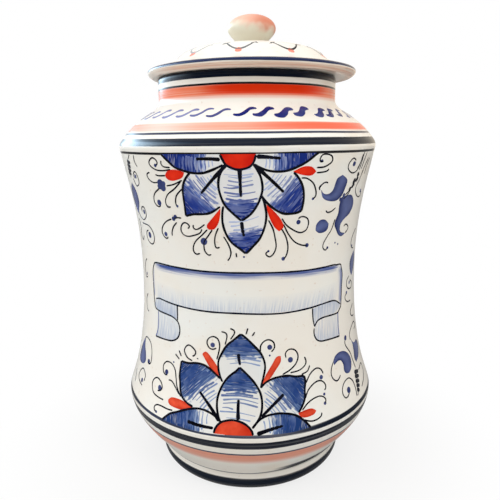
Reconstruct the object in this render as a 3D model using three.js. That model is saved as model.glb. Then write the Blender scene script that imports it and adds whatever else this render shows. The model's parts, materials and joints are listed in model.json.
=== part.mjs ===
// A lidded pharmacy jar (albarello) in tin-glazed earthenware, in millimetres, +Z up.
// The origin is the centre of the ring that the jar stands on. The painted front faces -Y.
// The jar is a thrown hollow body on a foot ring. Its loose lid is a domed cover with a
// locating flange under it, which drops into the mouth, and a ball knob luted on top.

import * as THREE from "three";

// Foot ring
const footRadius = 65.5;
const footHeight = 13;
const footWall = 8.7;
const heelFlare = 0.5;         // how far the heel stands out past the ring's top
const heelHeight = 6;
const heelTuck = 4.4;          // how far the heel rolls in at the table

// Body outline: radii, and the heights where they lie
const baseRadius = 66.4;       // where the body turns out over the foot
const baseRound = 1.5;
const bulgeRadius = 88;
const bulgeHeight = 52;
const waistRadius = 74.6;
const waistHeight = 138;
const shoulderRadius = 85.2;
const shoulderHeight = 219.5;
const shoulderRound = 4.7;
const neckRadius = 58.5;
const neckHeight = 249.2;      // where the shoulder has run out into the straight neck
const mouthHeight = 263;

// Thrown walls
const bodyWall = 6;
const neckWall = 5.2;
const floorThickness = 7;
const floorInset = 1.4;        // how far inside the base the flat floor ends
const edgeRound = 1.2;         // softened edges of the rims and rings

// Lid
const seatGap = 0.3;           // the glazed lid and the glazed rim never quite touch
const lidPlay = 3.5;           // how far the flange can slide in the mouth, to each side
const seatOverhang = 0.5;      // how far the flat seat runs past the neck, with the lid pushed across
const brimRadius = 67.9;
const brimThickness = 4.9;
const brimDrop = 0.4;          // how far the brim's underside hangs below the seat
const domeRadius = 49;
const domeFoot = 11.3;         // height of the dome's edge over the seat
const crownHeight = 19.8;      // height of the crown over the seat
const lidWall = 6;
const flangeDepth = 11;
const flangeWall = 5;

// Knob
const knobRadius = 15.7;
const knobHeight = 20;
const knobSeatRadius = 8;
const knobWaist = 11.2;        // height of its widest place over the crown
const knobOffset = 0.4;        // it was luted on a little to one side

const turnSteps = 48;          // facets round each turned piece

// Curve handles, as shares of the stretch of outline that they bend
const belly = { out: 0.35, rise: 0.3, turn: 0.36 };
const taper = { turn: 0.06, ease: 0.69 };
const flare = { ease: 0.45, lean: 0.065, end: 0.31 };
const shoulder = { draw: 0.3, swell: 0.06, rise: 0.36, lean: 0.22, drop: 0.3 };
const slope = { run: 0.47, climb: 0.68, end: 0.33 };
const hollow = { flat: 0.6, side: 0.97, rise: 0.5 };
const nose = { low: 0.35, high: 0.17, proud: 0.01, top: 0.02, bottom: 0.045 };
const sweepUp = { run: 0.4, climb: 0.27, side: 0.19, drop: 0.45 };
const dome = { side: 0.12, rise: 0.64, flat: 0.73 };
const ball = { neck: 0.29, side: 0.4, high: 0.57, flat: 0.55 };
const heelRoll = { low: 0.35, high: 0.55 };

const seatHeight = mouthHeight + seatGap;
const boreRadius = neckRadius - neckWall;
const flangeRadius = boreRadius - lidPlay;
const lidShift = lidPlay - seatGap;    // the lid lies pushed across until its flange meets the bore
const crownTop = seatHeight + crownHeight;

const at = (radius, height) => new THREE.Vector2(radius, height);

// A smooth stretch of outline, without its first point, so that stretches can be chained.
function sweep(start, startHandle, endHandle, end, steps) {
  return new THREE.CubicBezierCurve(start, startHandle, endHandle, end).getPoints(steps).slice(1);
}

// A rounded edge from one point to the next, bent towards the corner between them.
function roundEdge(start, corner, end) {
  const towards = 0.55;
  return sweep(start, start.clone().lerp(corner, towards), end.clone().lerp(corner, towards), end, 2);
}

function turned(name, outline, material) {
  const geometry = new THREE.LatheGeometry(outline, turnSteps);
  geometry.rotateX(Math.PI / 2);
  const mesh = new THREE.Mesh(geometry, material);
  mesh.name = name;
  return mesh;
}

function glaze(colour, roughness) {
  return new THREE.MeshStandardMaterial({ color: colour, roughness, metalness: 0 });
}

// The wall from foot to shoulder: out to the bulge, in to the waist and out again.
// Inset is nought on the outside and the wall's thickness on the inside.
function sideWall(start, inset, steps) {
  const bulge = at(bulgeRadius - inset, bulgeHeight);
  const waist = at(waistRadius - inset, waistHeight);
  const top = at(shoulderRadius - inset, shoulderHeight - inset / 2);
  const width = bulge.x - start.x;
  const low = bulge.y - start.y;
  const middle = waist.y - bulge.y;
  const high = top.y - waist.y;
  return [
    ...sweep(start, at(start.x + belly.out * width, start.y + belly.rise * low),
      at(bulge.x, bulge.y - belly.turn * low), bulge, steps),
    ...sweep(bulge, at(bulge.x, bulge.y + taper.turn * middle),
      at(waist.x, waist.y - taper.ease * middle), waist, steps + 1),
    ...sweep(waist, at(waist.x, waist.y + flare.ease * high),
      at(top.x - flare.lean * high, top.y - flare.end * high), top, steps),
  ];
}

// From the shoulder's edge over the slope and up into the straight neck.
function shoulderToNeck(edge, round, neck, steps) {
  const brow = at(edge.x - shoulder.draw * round, edge.y + round);
  const run = brow.x - neck.x;
  const climb = neck.y - brow.y;
  return [
    ...sweep(edge, at(edge.x + shoulder.swell * round, edge.y + shoulder.rise * round),
      at(brow.x + shoulder.lean * round, brow.y - shoulder.drop * round), brow, 3),
    ...sweep(brow, at(brow.x - slope.run * run, brow.y + slope.climb * climb),
      at(neck.x, neck.y - slope.end * climb), neck, steps),
  ];
}

function jarBody(material) {
  const floor = footHeight + floorThickness;
  const outerStart = at(baseRadius + baseRound, footHeight + baseRound);
  const innerStart = at(baseRadius - floorInset, floor);
  const outerEdge = at(shoulderRadius, shoulderHeight);
  const innerEdge = at(shoulderRadius - bodyWall, shoulderHeight - bodyWall / 2);
  const inside = [
    innerStart,
    ...sideWall(innerStart, bodyWall, 4),
    ...shoulderToNeck(innerEdge, shoulderRound, at(boreRadius, neckHeight), 5),
    at(boreRadius, mouthHeight - edgeRound),
    ...roundEdge(at(boreRadius, mouthHeight - edgeRound), at(boreRadius, mouthHeight),
      at(boreRadius + edgeRound, mouthHeight)),
  ];
  return turned("jar_body", [
    at(0, footHeight),
    at(baseRadius - baseRound / 2, footHeight),
    ...roundEdge(at(baseRadius - baseRound / 2, footHeight), at(baseRadius + baseRound / 2, footHeight),
      outerStart),
    ...sideWall(outerStart, 0, 6),
    ...shoulderToNeck(outerEdge, shoulderRound, at(neckRadius, neckHeight), 7),
    at(neckRadius, mouthHeight - edgeRound),
    ...roundEdge(at(neckRadius, mouthHeight - edgeRound), at(neckRadius, mouthHeight),
      at(neckRadius - edgeRound, mouthHeight)),
    ...inside.reverse(),
    at(0, floor),
  ], material);
}

// The inside of a ring: a flat top, a straight bore and a softened lower edge.
function ringBore(inner, bottom, top) {
  return [
    at(inner, top),
    at(inner, bottom + edgeRound),
    ...roundEdge(at(inner, bottom + edgeRound), at(inner, bottom), at(inner + edgeRound, bottom)),
  ];
}

// The foot's tread is flat, and its heel rolls out from the table.
function footRing(material) {
  const inner = footRadius - footWall;
  const heel = at(footRadius + heelFlare, heelHeight);
  const tread = at(heel.x - heelTuck, 0);
  return turned("foot_ring", [
    ...ringBore(inner, 0, footHeight),
    tread,
    ...sweep(tread, at(tread.x + heelRoll.low * heelTuck, 0),
      at(heel.x, (1 - heelRoll.high) * heelHeight), heel, 5),
    at(footRadius, footHeight),
    at(inner, footHeight),
  ], material);
}

function lidFlange(material) {
  const inner = flangeRadius - flangeWall;
  const bottom = seatHeight - flangeDepth;
  return turned("lid_flange", [
    ...ringBore(inner, bottom, seatHeight),
    at(flangeRadius - edgeRound, bottom),
    ...roundEdge(at(flangeRadius - edgeRound, bottom), at(flangeRadius, bottom),
      at(flangeRadius, bottom + edgeRound)),
    at(flangeRadius, seatHeight),
    at(inner, seatHeight),
  ], material);
}

function lidCover(material) {
  const hollowTop = at(0, crownTop - lidWall);
  const hollowEdge = at(flangeRadius - flangeWall - seatGap, seatHeight);
  const hollowRise = hollowTop.y - hollowEdge.y;
  const brimBottom = at((1 - nose.bottom) * brimRadius, seatHeight - brimDrop);
  const brimTop = at((1 - nose.top) * brimRadius, brimBottom.y + brimThickness);
  const noseRadius = (1 + nose.proud) * brimRadius;
  const domeEdge = at(domeRadius, seatHeight + domeFoot);
  const brimRun = brimTop.x - domeEdge.x;
  const brimClimb = domeEdge.y - brimTop.y;
  const crownEdge = at(knobSeatRadius, crownTop);
  const domeRun = domeEdge.x - crownEdge.x;
  const domeRise = crownEdge.y - domeEdge.y;
  return turned("lid_cover", [
    hollowTop,
    ...sweep(hollowTop, at(hollow.flat * hollowEdge.x, hollowTop.y),
      at(hollow.side * hollowEdge.x, hollowEdge.y + hollow.rise * hollowRise), hollowEdge, 7),
    at(neckRadius + lidShift + seatOverhang, seatHeight),
    brimBottom,
    ...sweep(brimBottom, at(noseRadius, brimBottom.y + nose.low * brimThickness),
      at(noseRadius, brimTop.y - nose.high * brimThickness), brimTop, 5),
    ...sweep(brimTop, at(brimTop.x - sweepUp.run * brimRun, brimTop.y + sweepUp.climb * brimClimb),
      at(domeEdge.x + sweepUp.side * brimRun, domeEdge.y - sweepUp.drop * brimClimb), domeEdge, 5),
    ...sweep(domeEdge, at(domeEdge.x - dome.side * domeRun, domeEdge.y + dome.rise * domeRise),
      at(crownEdge.x + dome.flat * domeRun, crownEdge.y), crownEdge, 7),
    at(0, crownTop),
  ], material);
}

function lidKnob(material) {
  const base = at(knobSeatRadius, crownTop);
  const widest = at(knobRadius, crownTop + knobWaist);
  const top = at(0, crownTop + knobHeight);
  return turned("lid_knob", [
    at(0, crownTop),
    base,
    ...sweep(base, at(base.x, base.y + ball.neck * knobWaist),
      at(widest.x, widest.y - ball.side * knobWaist), widest, 6),
    ...sweep(widest, at(widest.x, widest.y + ball.high * (top.y - widest.y)),
      at(ball.flat * widest.x, top.y), top, 7),
  ], material);
}

const whiteGlaze = glaze(0xe8e2d7, 0.3);
const footGlaze = glaze(0xded7c8, 0.35);
const lidGlaze = glaze(0xebe7dd, 0.3);
const knobGlaze = glaze(0xdccbb8, 0.3);

const knob = lidKnob(knobGlaze);
knob.position.x = knobOffset;

const lid = new THREE.Group();
lid.add(lidCover(lidGlaze), lidFlange(lidGlaze), knob);
lid.position.x = lidShift;

const albarello = new THREE.Group();
albarello.add(jarBody(whiteGlaze), footRing(footGlaze), lid);

export default albarello;
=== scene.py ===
import json
import math
import random

import bmesh
import bpy
from mathutils import Matrix, Vector

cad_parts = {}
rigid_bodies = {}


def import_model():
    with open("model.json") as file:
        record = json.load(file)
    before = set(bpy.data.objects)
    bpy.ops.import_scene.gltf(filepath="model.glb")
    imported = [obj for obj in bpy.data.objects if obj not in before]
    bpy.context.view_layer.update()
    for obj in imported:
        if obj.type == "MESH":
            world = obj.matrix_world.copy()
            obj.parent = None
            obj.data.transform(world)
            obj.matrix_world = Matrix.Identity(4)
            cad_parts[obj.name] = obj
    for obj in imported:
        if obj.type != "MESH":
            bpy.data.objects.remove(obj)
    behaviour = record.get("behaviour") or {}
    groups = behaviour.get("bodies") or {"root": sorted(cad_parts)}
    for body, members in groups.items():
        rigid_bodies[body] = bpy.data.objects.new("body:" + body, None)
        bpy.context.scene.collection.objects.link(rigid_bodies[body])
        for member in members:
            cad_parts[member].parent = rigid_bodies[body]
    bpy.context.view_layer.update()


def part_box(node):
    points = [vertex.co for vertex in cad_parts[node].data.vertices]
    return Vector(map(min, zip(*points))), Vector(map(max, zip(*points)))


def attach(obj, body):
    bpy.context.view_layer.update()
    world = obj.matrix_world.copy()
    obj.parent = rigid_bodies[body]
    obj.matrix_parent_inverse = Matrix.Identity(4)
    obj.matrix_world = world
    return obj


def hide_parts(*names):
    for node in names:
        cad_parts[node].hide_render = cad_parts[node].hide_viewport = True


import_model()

# Lengths are in millimetres, heights are over the table, and mm turns them into metres.
mm = 0.001


def top(node):
    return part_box(node)[1].z / mm


def middle(node):
    return (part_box(node)[0].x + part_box(node)[1].x) / 2 / mm


def reach(node):
    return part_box(node)[1].x / mm - middle(node)


# What a user would change, one dictionary for each piece. The frame gives what it can.
foot = {
    "heel": reach("foot_ring"), "height": top("foot_ring"), "wall": 8.7,
    "flare": 0.5, "heelHeight": 6, "tuck": 4.4,
}
jar = {
    "baseRadius": 66.4, "baseRound": 1.5,
    "bulgeRadius": reach("jar_body"), "bulgeHeight": 52,
    "waistRadius": 74.6, "waistHeight": 138,
    "shoulderRadius": 85.2, "shoulderHeight": 219.5, "shoulderRound": 4.7,
    "neckRadius": 58.5, "neckHeight": 249.2, "mouthHeight": top("jar_body"),
    "wall": 6, "neckWall": 5.2, "floor": 7, "floorInset": 1.4,
}
lid = {
    "middle": middle("lid_cover"), "seat": top("lid_flange"), "overhang": 0.5,
    "brimRadius": 67.9, "brimThickness": 4.9, "brimDrop": 0.4,
    "domeRadius": 49, "domeFoot": 11.3, "crown": top("lid_cover"), "wall": 6,
    "flangeRadius": reach("lid_flange"), "flangeWall": 5,
    "flangeBottom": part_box("lid_flange")[0].z / mm, "gap": 0.3,
}
knob = {
    "middle": middle("lid_knob"), "foot": top("lid_cover"), "top": top("lid_knob"),
    "radius": reach("lid_knob"), "seatRadius": 8, "waist": 11.2,
}
edgeRound = 1.2

# Curve handles, as shares of the stretch of outline that they bend
belly = {"out": 0.35, "rise": 0.3, "turn": 0.36}
taper = {"turn": 0.06, "ease": 0.69}
flare = {"ease": 0.45, "lean": 0.065, "end": 0.31}
shoulder = {"draw": 0.3, "swell": 0.06, "rise": 0.36, "lean": 0.22, "drop": 0.3}
slope = {"run": 0.47, "climb": 0.68, "end": 0.33}
hollow = {"flat": 0.6, "side": 0.97, "rise": 0.5}
nose = {"low": 0.35, "high": 0.17, "proud": 0.01, "top": 0.02, "bottom": 0.045}
sweepUp = {"run": 0.4, "climb": 0.27, "side": 0.19, "drop": 0.45}
dome = {"side": 0.12, "rise": 0.64, "flat": 0.73}
ball = {"neck": 0.29, "side": 0.4, "high": 0.57, "flat": 0.55}
heelRoll = {"low": 0.35, "high": 0.55}


# Outlines: pairs of radius and height, as they come off the wheel

def at(radius, height):
    return Vector((radius, height))


def sweep(start, startHandle, endHandle, end, steps):
    points = []
    for step in range(1, steps + 1):
        t = step / steps
        s = 1 - t
        points.append(s ** 3 * start + 3 * s * s * t * startHandle + 3 * s * t * t * endHandle + t ** 3 * end)
    return points


def roundEdge(start, corner, end, steps=5):
    towards = 0.55
    return sweep(start, start.lerp(corner, towards), end.lerp(corner, towards), end, steps)


def straight(start, end, steps):
    return [start.lerp(end, step / steps) for step in range(1, steps + 1)]


def sideWall(start, inset, steps):
    bulge = at(jar["bulgeRadius"] - inset, jar["bulgeHeight"])
    waist = at(jar["waistRadius"] - inset, jar["waistHeight"])
    edge = at(jar["shoulderRadius"] - inset, jar["shoulderHeight"] - inset / 2)
    width = bulge.x - start.x
    low = bulge.y - start.y
    middle = waist.y - bulge.y
    high = edge.y - waist.y
    return [
        *sweep(start, at(start.x + belly["out"] * width, start.y + belly["rise"] * low),
               at(bulge.x, bulge.y - belly["turn"] * low), bulge, steps),
        *sweep(bulge, at(bulge.x, bulge.y + taper["turn"] * middle),
               at(waist.x, waist.y - taper["ease"] * middle), waist, steps * 2),
        *sweep(waist, at(waist.x, waist.y + flare["ease"] * high),
               at(edge.x - flare["lean"] * high, edge.y - flare["end"] * high), edge, steps * 2),
    ]


def shoulderToNeck(edge, neck, steps):
    roundness = jar["shoulderRound"]
    brow = at(edge.x - shoulder["draw"] * roundness, edge.y + roundness)
    run = brow.x - neck.x
    climb = neck.y - brow.y
    return [
        *sweep(edge, at(edge.x + shoulder["swell"] * roundness, edge.y + shoulder["rise"] * roundness),
               at(brow.x + shoulder["lean"] * roundness, brow.y - shoulder["drop"] * roundness), brow, 8),
        *sweep(brow, at(brow.x - slope["run"] * run, brow.y + slope["climb"] * climb),
               at(neck.x, neck.y - slope["end"] * climb), neck, steps),
    ]


def bodyOutline():
    base, mouth, wall = foot["height"], jar["mouthHeight"], jar["wall"]
    floor = base + jar["floor"]
    neck = at(jar["neckRadius"], jar["neckHeight"])
    bore = neck.x - jar["neckWall"]
    shoulderEdge = at(jar["shoulderRadius"], jar["shoulderHeight"])
    underEdge = at(jar["baseRadius"] - jar["baseRound"] / 2, base)
    outerStart = at(jar["baseRadius"] + jar["baseRound"], base + jar["baseRound"])
    innerStart = at(jar["baseRadius"] - jar["floorInset"], floor)
    outside = [
        at(0, base),
        *straight(at(0, base), underEdge, 12),
        *roundEdge(underEdge, at(jar["baseRadius"] + jar["baseRound"] / 2, base), outerStart),
        *sideWall(outerStart, 0, 32),
        *shoulderToNeck(shoulderEdge, neck, 28),
        *straight(neck, at(neck.x, mouth - edgeRound), 8),
        *roundEdge(at(neck.x, mouth - edgeRound), at(neck.x, mouth), at(neck.x - edgeRound, mouth)),
    ]
    inside = [
        at(0, floor),
        *straight(at(0, floor), innerStart, 8),
        *sideWall(innerStart, wall, 12),
        *shoulderToNeck(shoulderEdge - at(wall, wall / 2), at(bore, neck.y), 12),
        at(bore, mouth - edgeRound),
        *roundEdge(at(bore, mouth - edgeRound), at(bore, mouth), at(bore + edgeRound, mouth), 4),
    ]
    return outside, inside[::-1]


def ringBore(inner, bottom, height):
    return [
        at(inner, height),
        *straight(at(inner, height), at(inner, bottom + edgeRound), 5),
        *roundEdge(at(inner, bottom + edgeRound), at(inner, bottom), at(inner + edgeRound, bottom)),
    ]


def footOutline():
    outer = at(foot["heel"] - foot["flare"], foot["height"])
    inner = at(outer.x - foot["wall"], foot["height"])
    heel = at(foot["heel"], foot["heelHeight"])
    tread = at(heel.x - foot["tuck"], 0)
    return [
        *ringBore(inner.x, 0, inner.y),
        *straight(at(inner.x + edgeRound, 0), tread, 3),
        *sweep(tread, at(tread.x + heelRoll["low"] * foot["tuck"], 0),
               at(heel.x, (1 - heelRoll["high"]) * heel.y), heel, 12),
        *straight(heel, outer, 6),
        *straight(outer, inner, 3),
    ]


def flangeOutline():
    outer, bottom = lid["flangeRadius"], lid["flangeBottom"]
    inner = at(outer - lid["flangeWall"], lid["seat"])
    return [
        *ringBore(inner.x, bottom, lid["seat"]),
        *straight(at(inner.x + edgeRound, bottom), at(outer - edgeRound, bottom), 3),
        *roundEdge(at(outer - edgeRound, bottom), at(outer, bottom), at(outer, bottom + edgeRound)),
        *straight(at(outer, bottom + edgeRound), at(outer, lid["seat"]), 8),
        *straight(at(outer, lid["seat"]), inner, 3),
    ]


def coverOutline():
    seat = lid["seat"]
    hollowTop = at(0, lid["crown"] - lid["wall"])
    hollowEdge = at(lid["flangeRadius"] - lid["flangeWall"] - lid["gap"], seat)
    rise = hollowTop.y - hollowEdge.y
    brim = lid["brimRadius"]
    brimBottom = at((1 - nose["bottom"]) * brim, seat - lid["brimDrop"])
    brimTop = at((1 - nose["top"]) * brim, brimBottom.y + lid["brimThickness"])
    noseRadius = (1 + nose["proud"]) * brim
    domeEdge = at(lid["domeRadius"], seat + lid["domeFoot"])
    run = brimTop.x - domeEdge.x
    climb = domeEdge.y - brimTop.y
    crownEdge = at(knob["seatRadius"], lid["crown"])
    domeRun = domeEdge.x - crownEdge.x
    domeRise = crownEdge.y - domeEdge.y
    seatEdge = at(jar["neckRadius"] + lid["middle"] + lid["overhang"], seat)
    return [
        hollowTop,
        *sweep(hollowTop, at(hollow["flat"] * hollowEdge.x, hollowTop.y),
               at(hollow["side"] * hollowEdge.x, hollowEdge.y + hollow["rise"] * rise), hollowEdge, 20),
        *straight(hollowEdge, seatEdge, 4),
        brimBottom,
        *sweep(brimBottom, at(noseRadius, brimBottom.y + nose["low"] * lid["brimThickness"]),
               at(noseRadius, brimTop.y - nose["high"] * lid["brimThickness"]), brimTop, 16),
        *sweep(brimTop, at(brimTop.x - sweepUp["run"] * run, brimTop.y + sweepUp["climb"] * climb),
               at(domeEdge.x + sweepUp["side"] * run, domeEdge.y - sweepUp["drop"] * climb), domeEdge, 20),
        *sweep(domeEdge, at(domeEdge.x - dome["side"] * domeRun, domeEdge.y + dome["rise"] * domeRise),
               at(crownEdge.x + dome["flat"] * domeRun, crownEdge.y), crownEdge, 30),
        at(0, lid["crown"]),
    ]


def knobOutline():
    base = at(knob["seatRadius"], knob["foot"])
    widest = at(knob["radius"], knob["foot"] + knob["waist"])
    crown = at(0, knob["top"])
    return [
        at(0, knob["foot"]),
        base,
        *sweep(base, at(base.x, base.y + ball["neck"] * knob["waist"]),
               at(widest.x, widest.y - ball["side"] * knob["waist"]), widest, 16),
        *sweep(widest, at(widest.x, widest.y + ball["high"] * (crown.y - widest.y)),
               at(ball["flat"] * widest.x, crown.y), crown, 24),
    ]


# Small helpers for node trees

def tint(red, green, blue):
    return tuple((part / 255) ** 2.2 for part in (red, green, blue)) + (1.0,)


def addNode(tree, kind, inputs=None, **settings):
    node = tree.nodes.new(kind)
    for name, value in settings.items():
        setattr(node, name, value)
    for key, value in (inputs or {}).items():
        if isinstance(value, bpy.types.NodeSocket):
            tree.links.new(value, node.inputs[key])
        else:
            node.inputs[key].default_value = value
    return node


def maths(tree, operation, *values, clamp=False):
    node = addNode(tree, "ShaderNodeMath", dict(enumerate(values)), operation=operation, use_clamp=clamp)
    return node.outputs[0]


def times(tree, first, *others):
    for other in others:
        first = maths(tree, "MULTIPLY", first, other)
    return first


def plus(tree, first, second, clamp=False):
    return maths(tree, "ADD", first, second, clamp=clamp)


def minus(tree, first, second):
    return maths(tree, "SUBTRACT", first, second)


def remainder(tree, share, clamp=False):
    return maths(tree, "SUBTRACT", 1.0, share, clamp=clamp)


def dense(tree, share):
    # A half-thick wash already covers most of the white under it
    return remainder(tree, maths(tree, "POWER", remainder(tree, share, clamp=True), 2.2))


def joinVector(tree, x, y, z):
    return addNode(tree, "ShaderNodeCombineXYZ", {0: x, 1: y, 2: z}).outputs[0]


def splitVector(tree, vector):
    return addNode(tree, "ShaderNodeSeparateXYZ", {0: vector}).outputs


def noise(tree, vector, scale, detail=2.0):
    inputs = {"Vector": vector, "Scale": scale, "Detail": detail}
    return addNode(tree, "ShaderNodeTexNoise", inputs).outputs[0]


def waver(tree, vector, scale, amount, detail=2.0):
    # Noise that swings as far to one side of nought as to the other
    return times(tree, minus(tree, noise(tree, vector, scale, detail), 0.5), amount)


def ramp(tree, value, low, high):
    limits = {0: value, 1: low, 2: high}
    return addNode(tree, "ShaderNodeMapRange", limits, interpolation_type="SMOOTHSTEP").outputs[0]


def blendColour(tree, share, first, second):
    return addNode(tree, "ShaderNodeMix", {0: share, 6: first, 7: second}, data_type="RGBA").outputs[2]


def blendVector(tree, share, first, second):
    return addNode(tree, "ShaderNodeMix", {0: share, 4: first, 5: second}, data_type="VECTOR").outputs[1]


def blendNumber(tree, share, first, second):
    return addNode(tree, "ShaderNodeMix", {0: share, 2: first, 3: second}, data_type="FLOAT").outputs[0]


def newTree(name, sockets):
    tree = bpy.data.node_groups.new(name, "GeometryNodeTree")
    tree.is_modifier = True
    tree.interface.new_socket("Geometry", in_out="INPUT", socket_type="NodeSocketGeometry")
    for label, (kind, value) in sockets.items():
        socket = tree.interface.new_socket(label, in_out="INPUT", socket_type="NodeSocket" + kind)
        if value is not None:
            socket.default_value = value
    tree.interface.new_socket("Geometry", in_out="OUTPUT", socket_type="NodeSocketGeometry")
    return tree, addNode(tree, "NodeGroupInput").outputs


def storeNumber(tree, geometry, name, value):
    return addNode(tree, "GeometryNodeStoreNamedAttribute", {0: geometry, "Name": name, "Value": value},
                   data_type="FLOAT", domain="POINT").outputs[0]


def endTree(tree, geometry, material):
    smooth = addNode(tree, "GeometryNodeSetShadeSmooth", {0: geometry}).outputs[0]
    whole = addNode(tree, "GeometryNodeRealizeInstances", {0: smooth}).outputs[0]
    coloured = addNode(tree, "GeometryNodeSetMaterial", {0: whole, "Material": material}).outputs[0]
    addNode(tree, "NodeGroupOutput", {0: coloured})


def newObject(name, data):
    item = bpy.data.objects.new(name, data)
    bpy.context.collection.objects.link(item)
    return item


def runTree(name, source, tree, settings, sharpest):
    # Edges bent by more than the sharpest angle, in degrees, stay crisp
    modifier = source.modifiers.new(tree.name, "NODES")
    modifier.node_group = tree
    for item in tree.interface.items_tree:
        if item.in_out == "INPUT" and item.name in settings:
            modifier[item.identifier] = settings[item.name]
    depsgraph = bpy.context.evaluated_depsgraph_get()
    mesh = bpy.data.meshes.new_from_object(source.evaluated_get(depsgraph), depsgraph=depsgraph)
    mesh.name = name
    piece = newObject(name, mesh)
    bpy.data.objects.remove(source)
    shell = bmesh.new()
    shell.from_mesh(mesh)
    bmesh.ops.recalc_face_normals(shell, faces=shell.faces)
    shell.to_mesh(mesh)
    shell.free()
    mesh.set_sharp_from_angle(angle=math.radians(sharpest))
    return piece


# Turned pieces: the tree spins an outline's points round the axis

turning = {
    "turns": 256, "flangeTurns": 192, "knobTurns": 128,      # facets round each piece
    "ridge": 0.16, "wander": 0.6, "pitch": 110.0, "seed": 3,      # throwing marks: depth, and how they run
    "weld": 0.002, "sharpest": 40,
}


def makeTurningTree():
    tree, inputs = newTree("turnOnWheel", {
        "Turns": ("Int", 128), "Middle": ("Float", 0.0), "Ridge": ("Float", 0.0), "Seed": ("Float", 0.0),
        "Wander": ("Float", 0.6), "Pitch": ("Float", 110.0), "Material": ("Material", None),
    })
    outline = inputs["Geometry"]
    rows = addNode(tree, "GeometryNodeAttributeDomainSize", {0: outline}, component="MESH").outputs[0]
    sheet = addNode(tree, "GeometryNodeMeshGrid", {
        "Size X": 1.0, "Size Y": 1.0, "Vertices X": plus(tree, inputs["Turns"], 1.0), "Vertices Y": rows,
    }).outputs[0]
    position = addNode(tree, "GeometryNodeInputPosition").outputs[0]
    marks = {"Name": "outside"}
    outside = addNode(tree, "GeometryNodeInputNamedAttribute", marks, data_type="FLOAT").outputs[0]
    place = splitVector(tree, position)
    angle = times(tree, plus(tree, place[0], 0.5), math.tau)
    row = maths(tree, "ROUND", times(tree, plus(tree, place[1], 0.5), minus(tree, rows, 1.0)))
    point = splitVector(tree, addNode(tree, "GeometryNodeSampleIndex", {
        0: outline, "Value": position, "Index": row,
    }, data_type="FLOAT_VECTOR").outputs[0])
    ridged = addNode(tree, "GeometryNodeSampleIndex", {
        0: outline, "Value": outside, "Index": row,
    }, data_type="FLOAT").outputs[0]
    across = maths(tree, "COSINE", angle)
    along = maths(tree, "SINE", angle)
    where = joinVector(tree, times(tree, across, inputs["Wander"]), times(tree, along, inputs["Wander"]),
                       plus(tree, times(tree, point[2], inputs["Pitch"]), inputs["Seed"]))
    depth = times(tree, noise(tree, where, 1.0, 1.0), inputs["Ridge"], ridged)
    radius = maths(tree, "MAXIMUM", minus(tree, point[0], depth), 0.0)
    spun = joinVector(tree, plus(tree, times(tree, across, radius), inputs["Middle"]),
                      times(tree, along, radius), point[2])
    marked = storeNumber(tree, sheet, "outside", ridged)
    turned = addNode(tree, "GeometryNodeSetPosition", {0: marked, "Position": spun}).outputs[0]
    welded = {0: turned, "Distance": turning["weld"] * mm}
    closed = addNode(tree, "GeometryNodeMergeByDistance", welded).outputs[0]
    endTree(tree, closed, inputs["Material"])
    return tree


def turn(name, outside, inside, material, middle=0.0, turns=turning["turns"], ridge=0.0):
    points = outside + inside
    mesh = bpy.data.meshes.new(name + "_outline")
    spots = [(point.x * mm, 0, point.y * mm) for point in points]
    mesh.from_pydata(spots, [(number, number + 1) for number in range(len(points) - 1)], [])
    marks = mesh.attributes.new("outside", "FLOAT", "POINT")
    marks.data.foreach_set("value", [1.0] * len(outside) + [0.0] * len(inside))
    return runTree(name, newObject(name + "_outline", mesh), turningTree, {
        "Turns": turns, "Middle": middle * mm, "Ridge": ridge * mm, "Seed": float(turning["seed"]),
        "Wander": turning["wander"], "Pitch": turning["pitch"], "Material": material,
    }, turning["sharpest"])


# Finishes

glaze = {
    "white": tint(233, 228, 219), "warm": tint(228, 216, 198), "cool": tint(231, 231, 226),
    "clay": tint(196, 152, 114),
    "cloudScale": 16.0, "clouds": (0.42, 0.72),
    "thinScale": 38.0, "thin": (0.52, 0.8), "thinShare": 0.55,
    "speckScale": 420.0, "specks": (0.70, 0.78), "speckShare": 0.25,
}
gloss = {
    "roughness": 0.2, "flangeRoughness": 0.5, "knobRoughness": 0.42, "mirror": 0.2,
    "bump": 0.35, "waviness": 0.12, "swellScale": 60.0, "peelScale": 420.0, "peel": 0.18,
    "pitScale": 700.0, "pits": (0.78, 0.84), "pitDepth": 0.4,
}
# The inks called low are the lower flower's, which are duller
inkTone = {
    "navy": tint(8, 22, 38), "line": tint(8, 10, 20), "slate": tint(44, 52, 74),
    "salmon": tint(240, 150, 126), "coral": tint(232, 86, 54), "red": tint(214, 50, 12),
    "orange": tint(232, 118, 78), "brick": tint(218, 138, 112),
    "cobalt": tint(22, 44, 118), "sky": tint(104, 126, 190), "pale": tint(214, 221, 238),
    "lowCobalt": tint(34, 60, 112), "lowSky": tint(104, 128, 170), "lowPale": tint(184, 195, 205),
}

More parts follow.
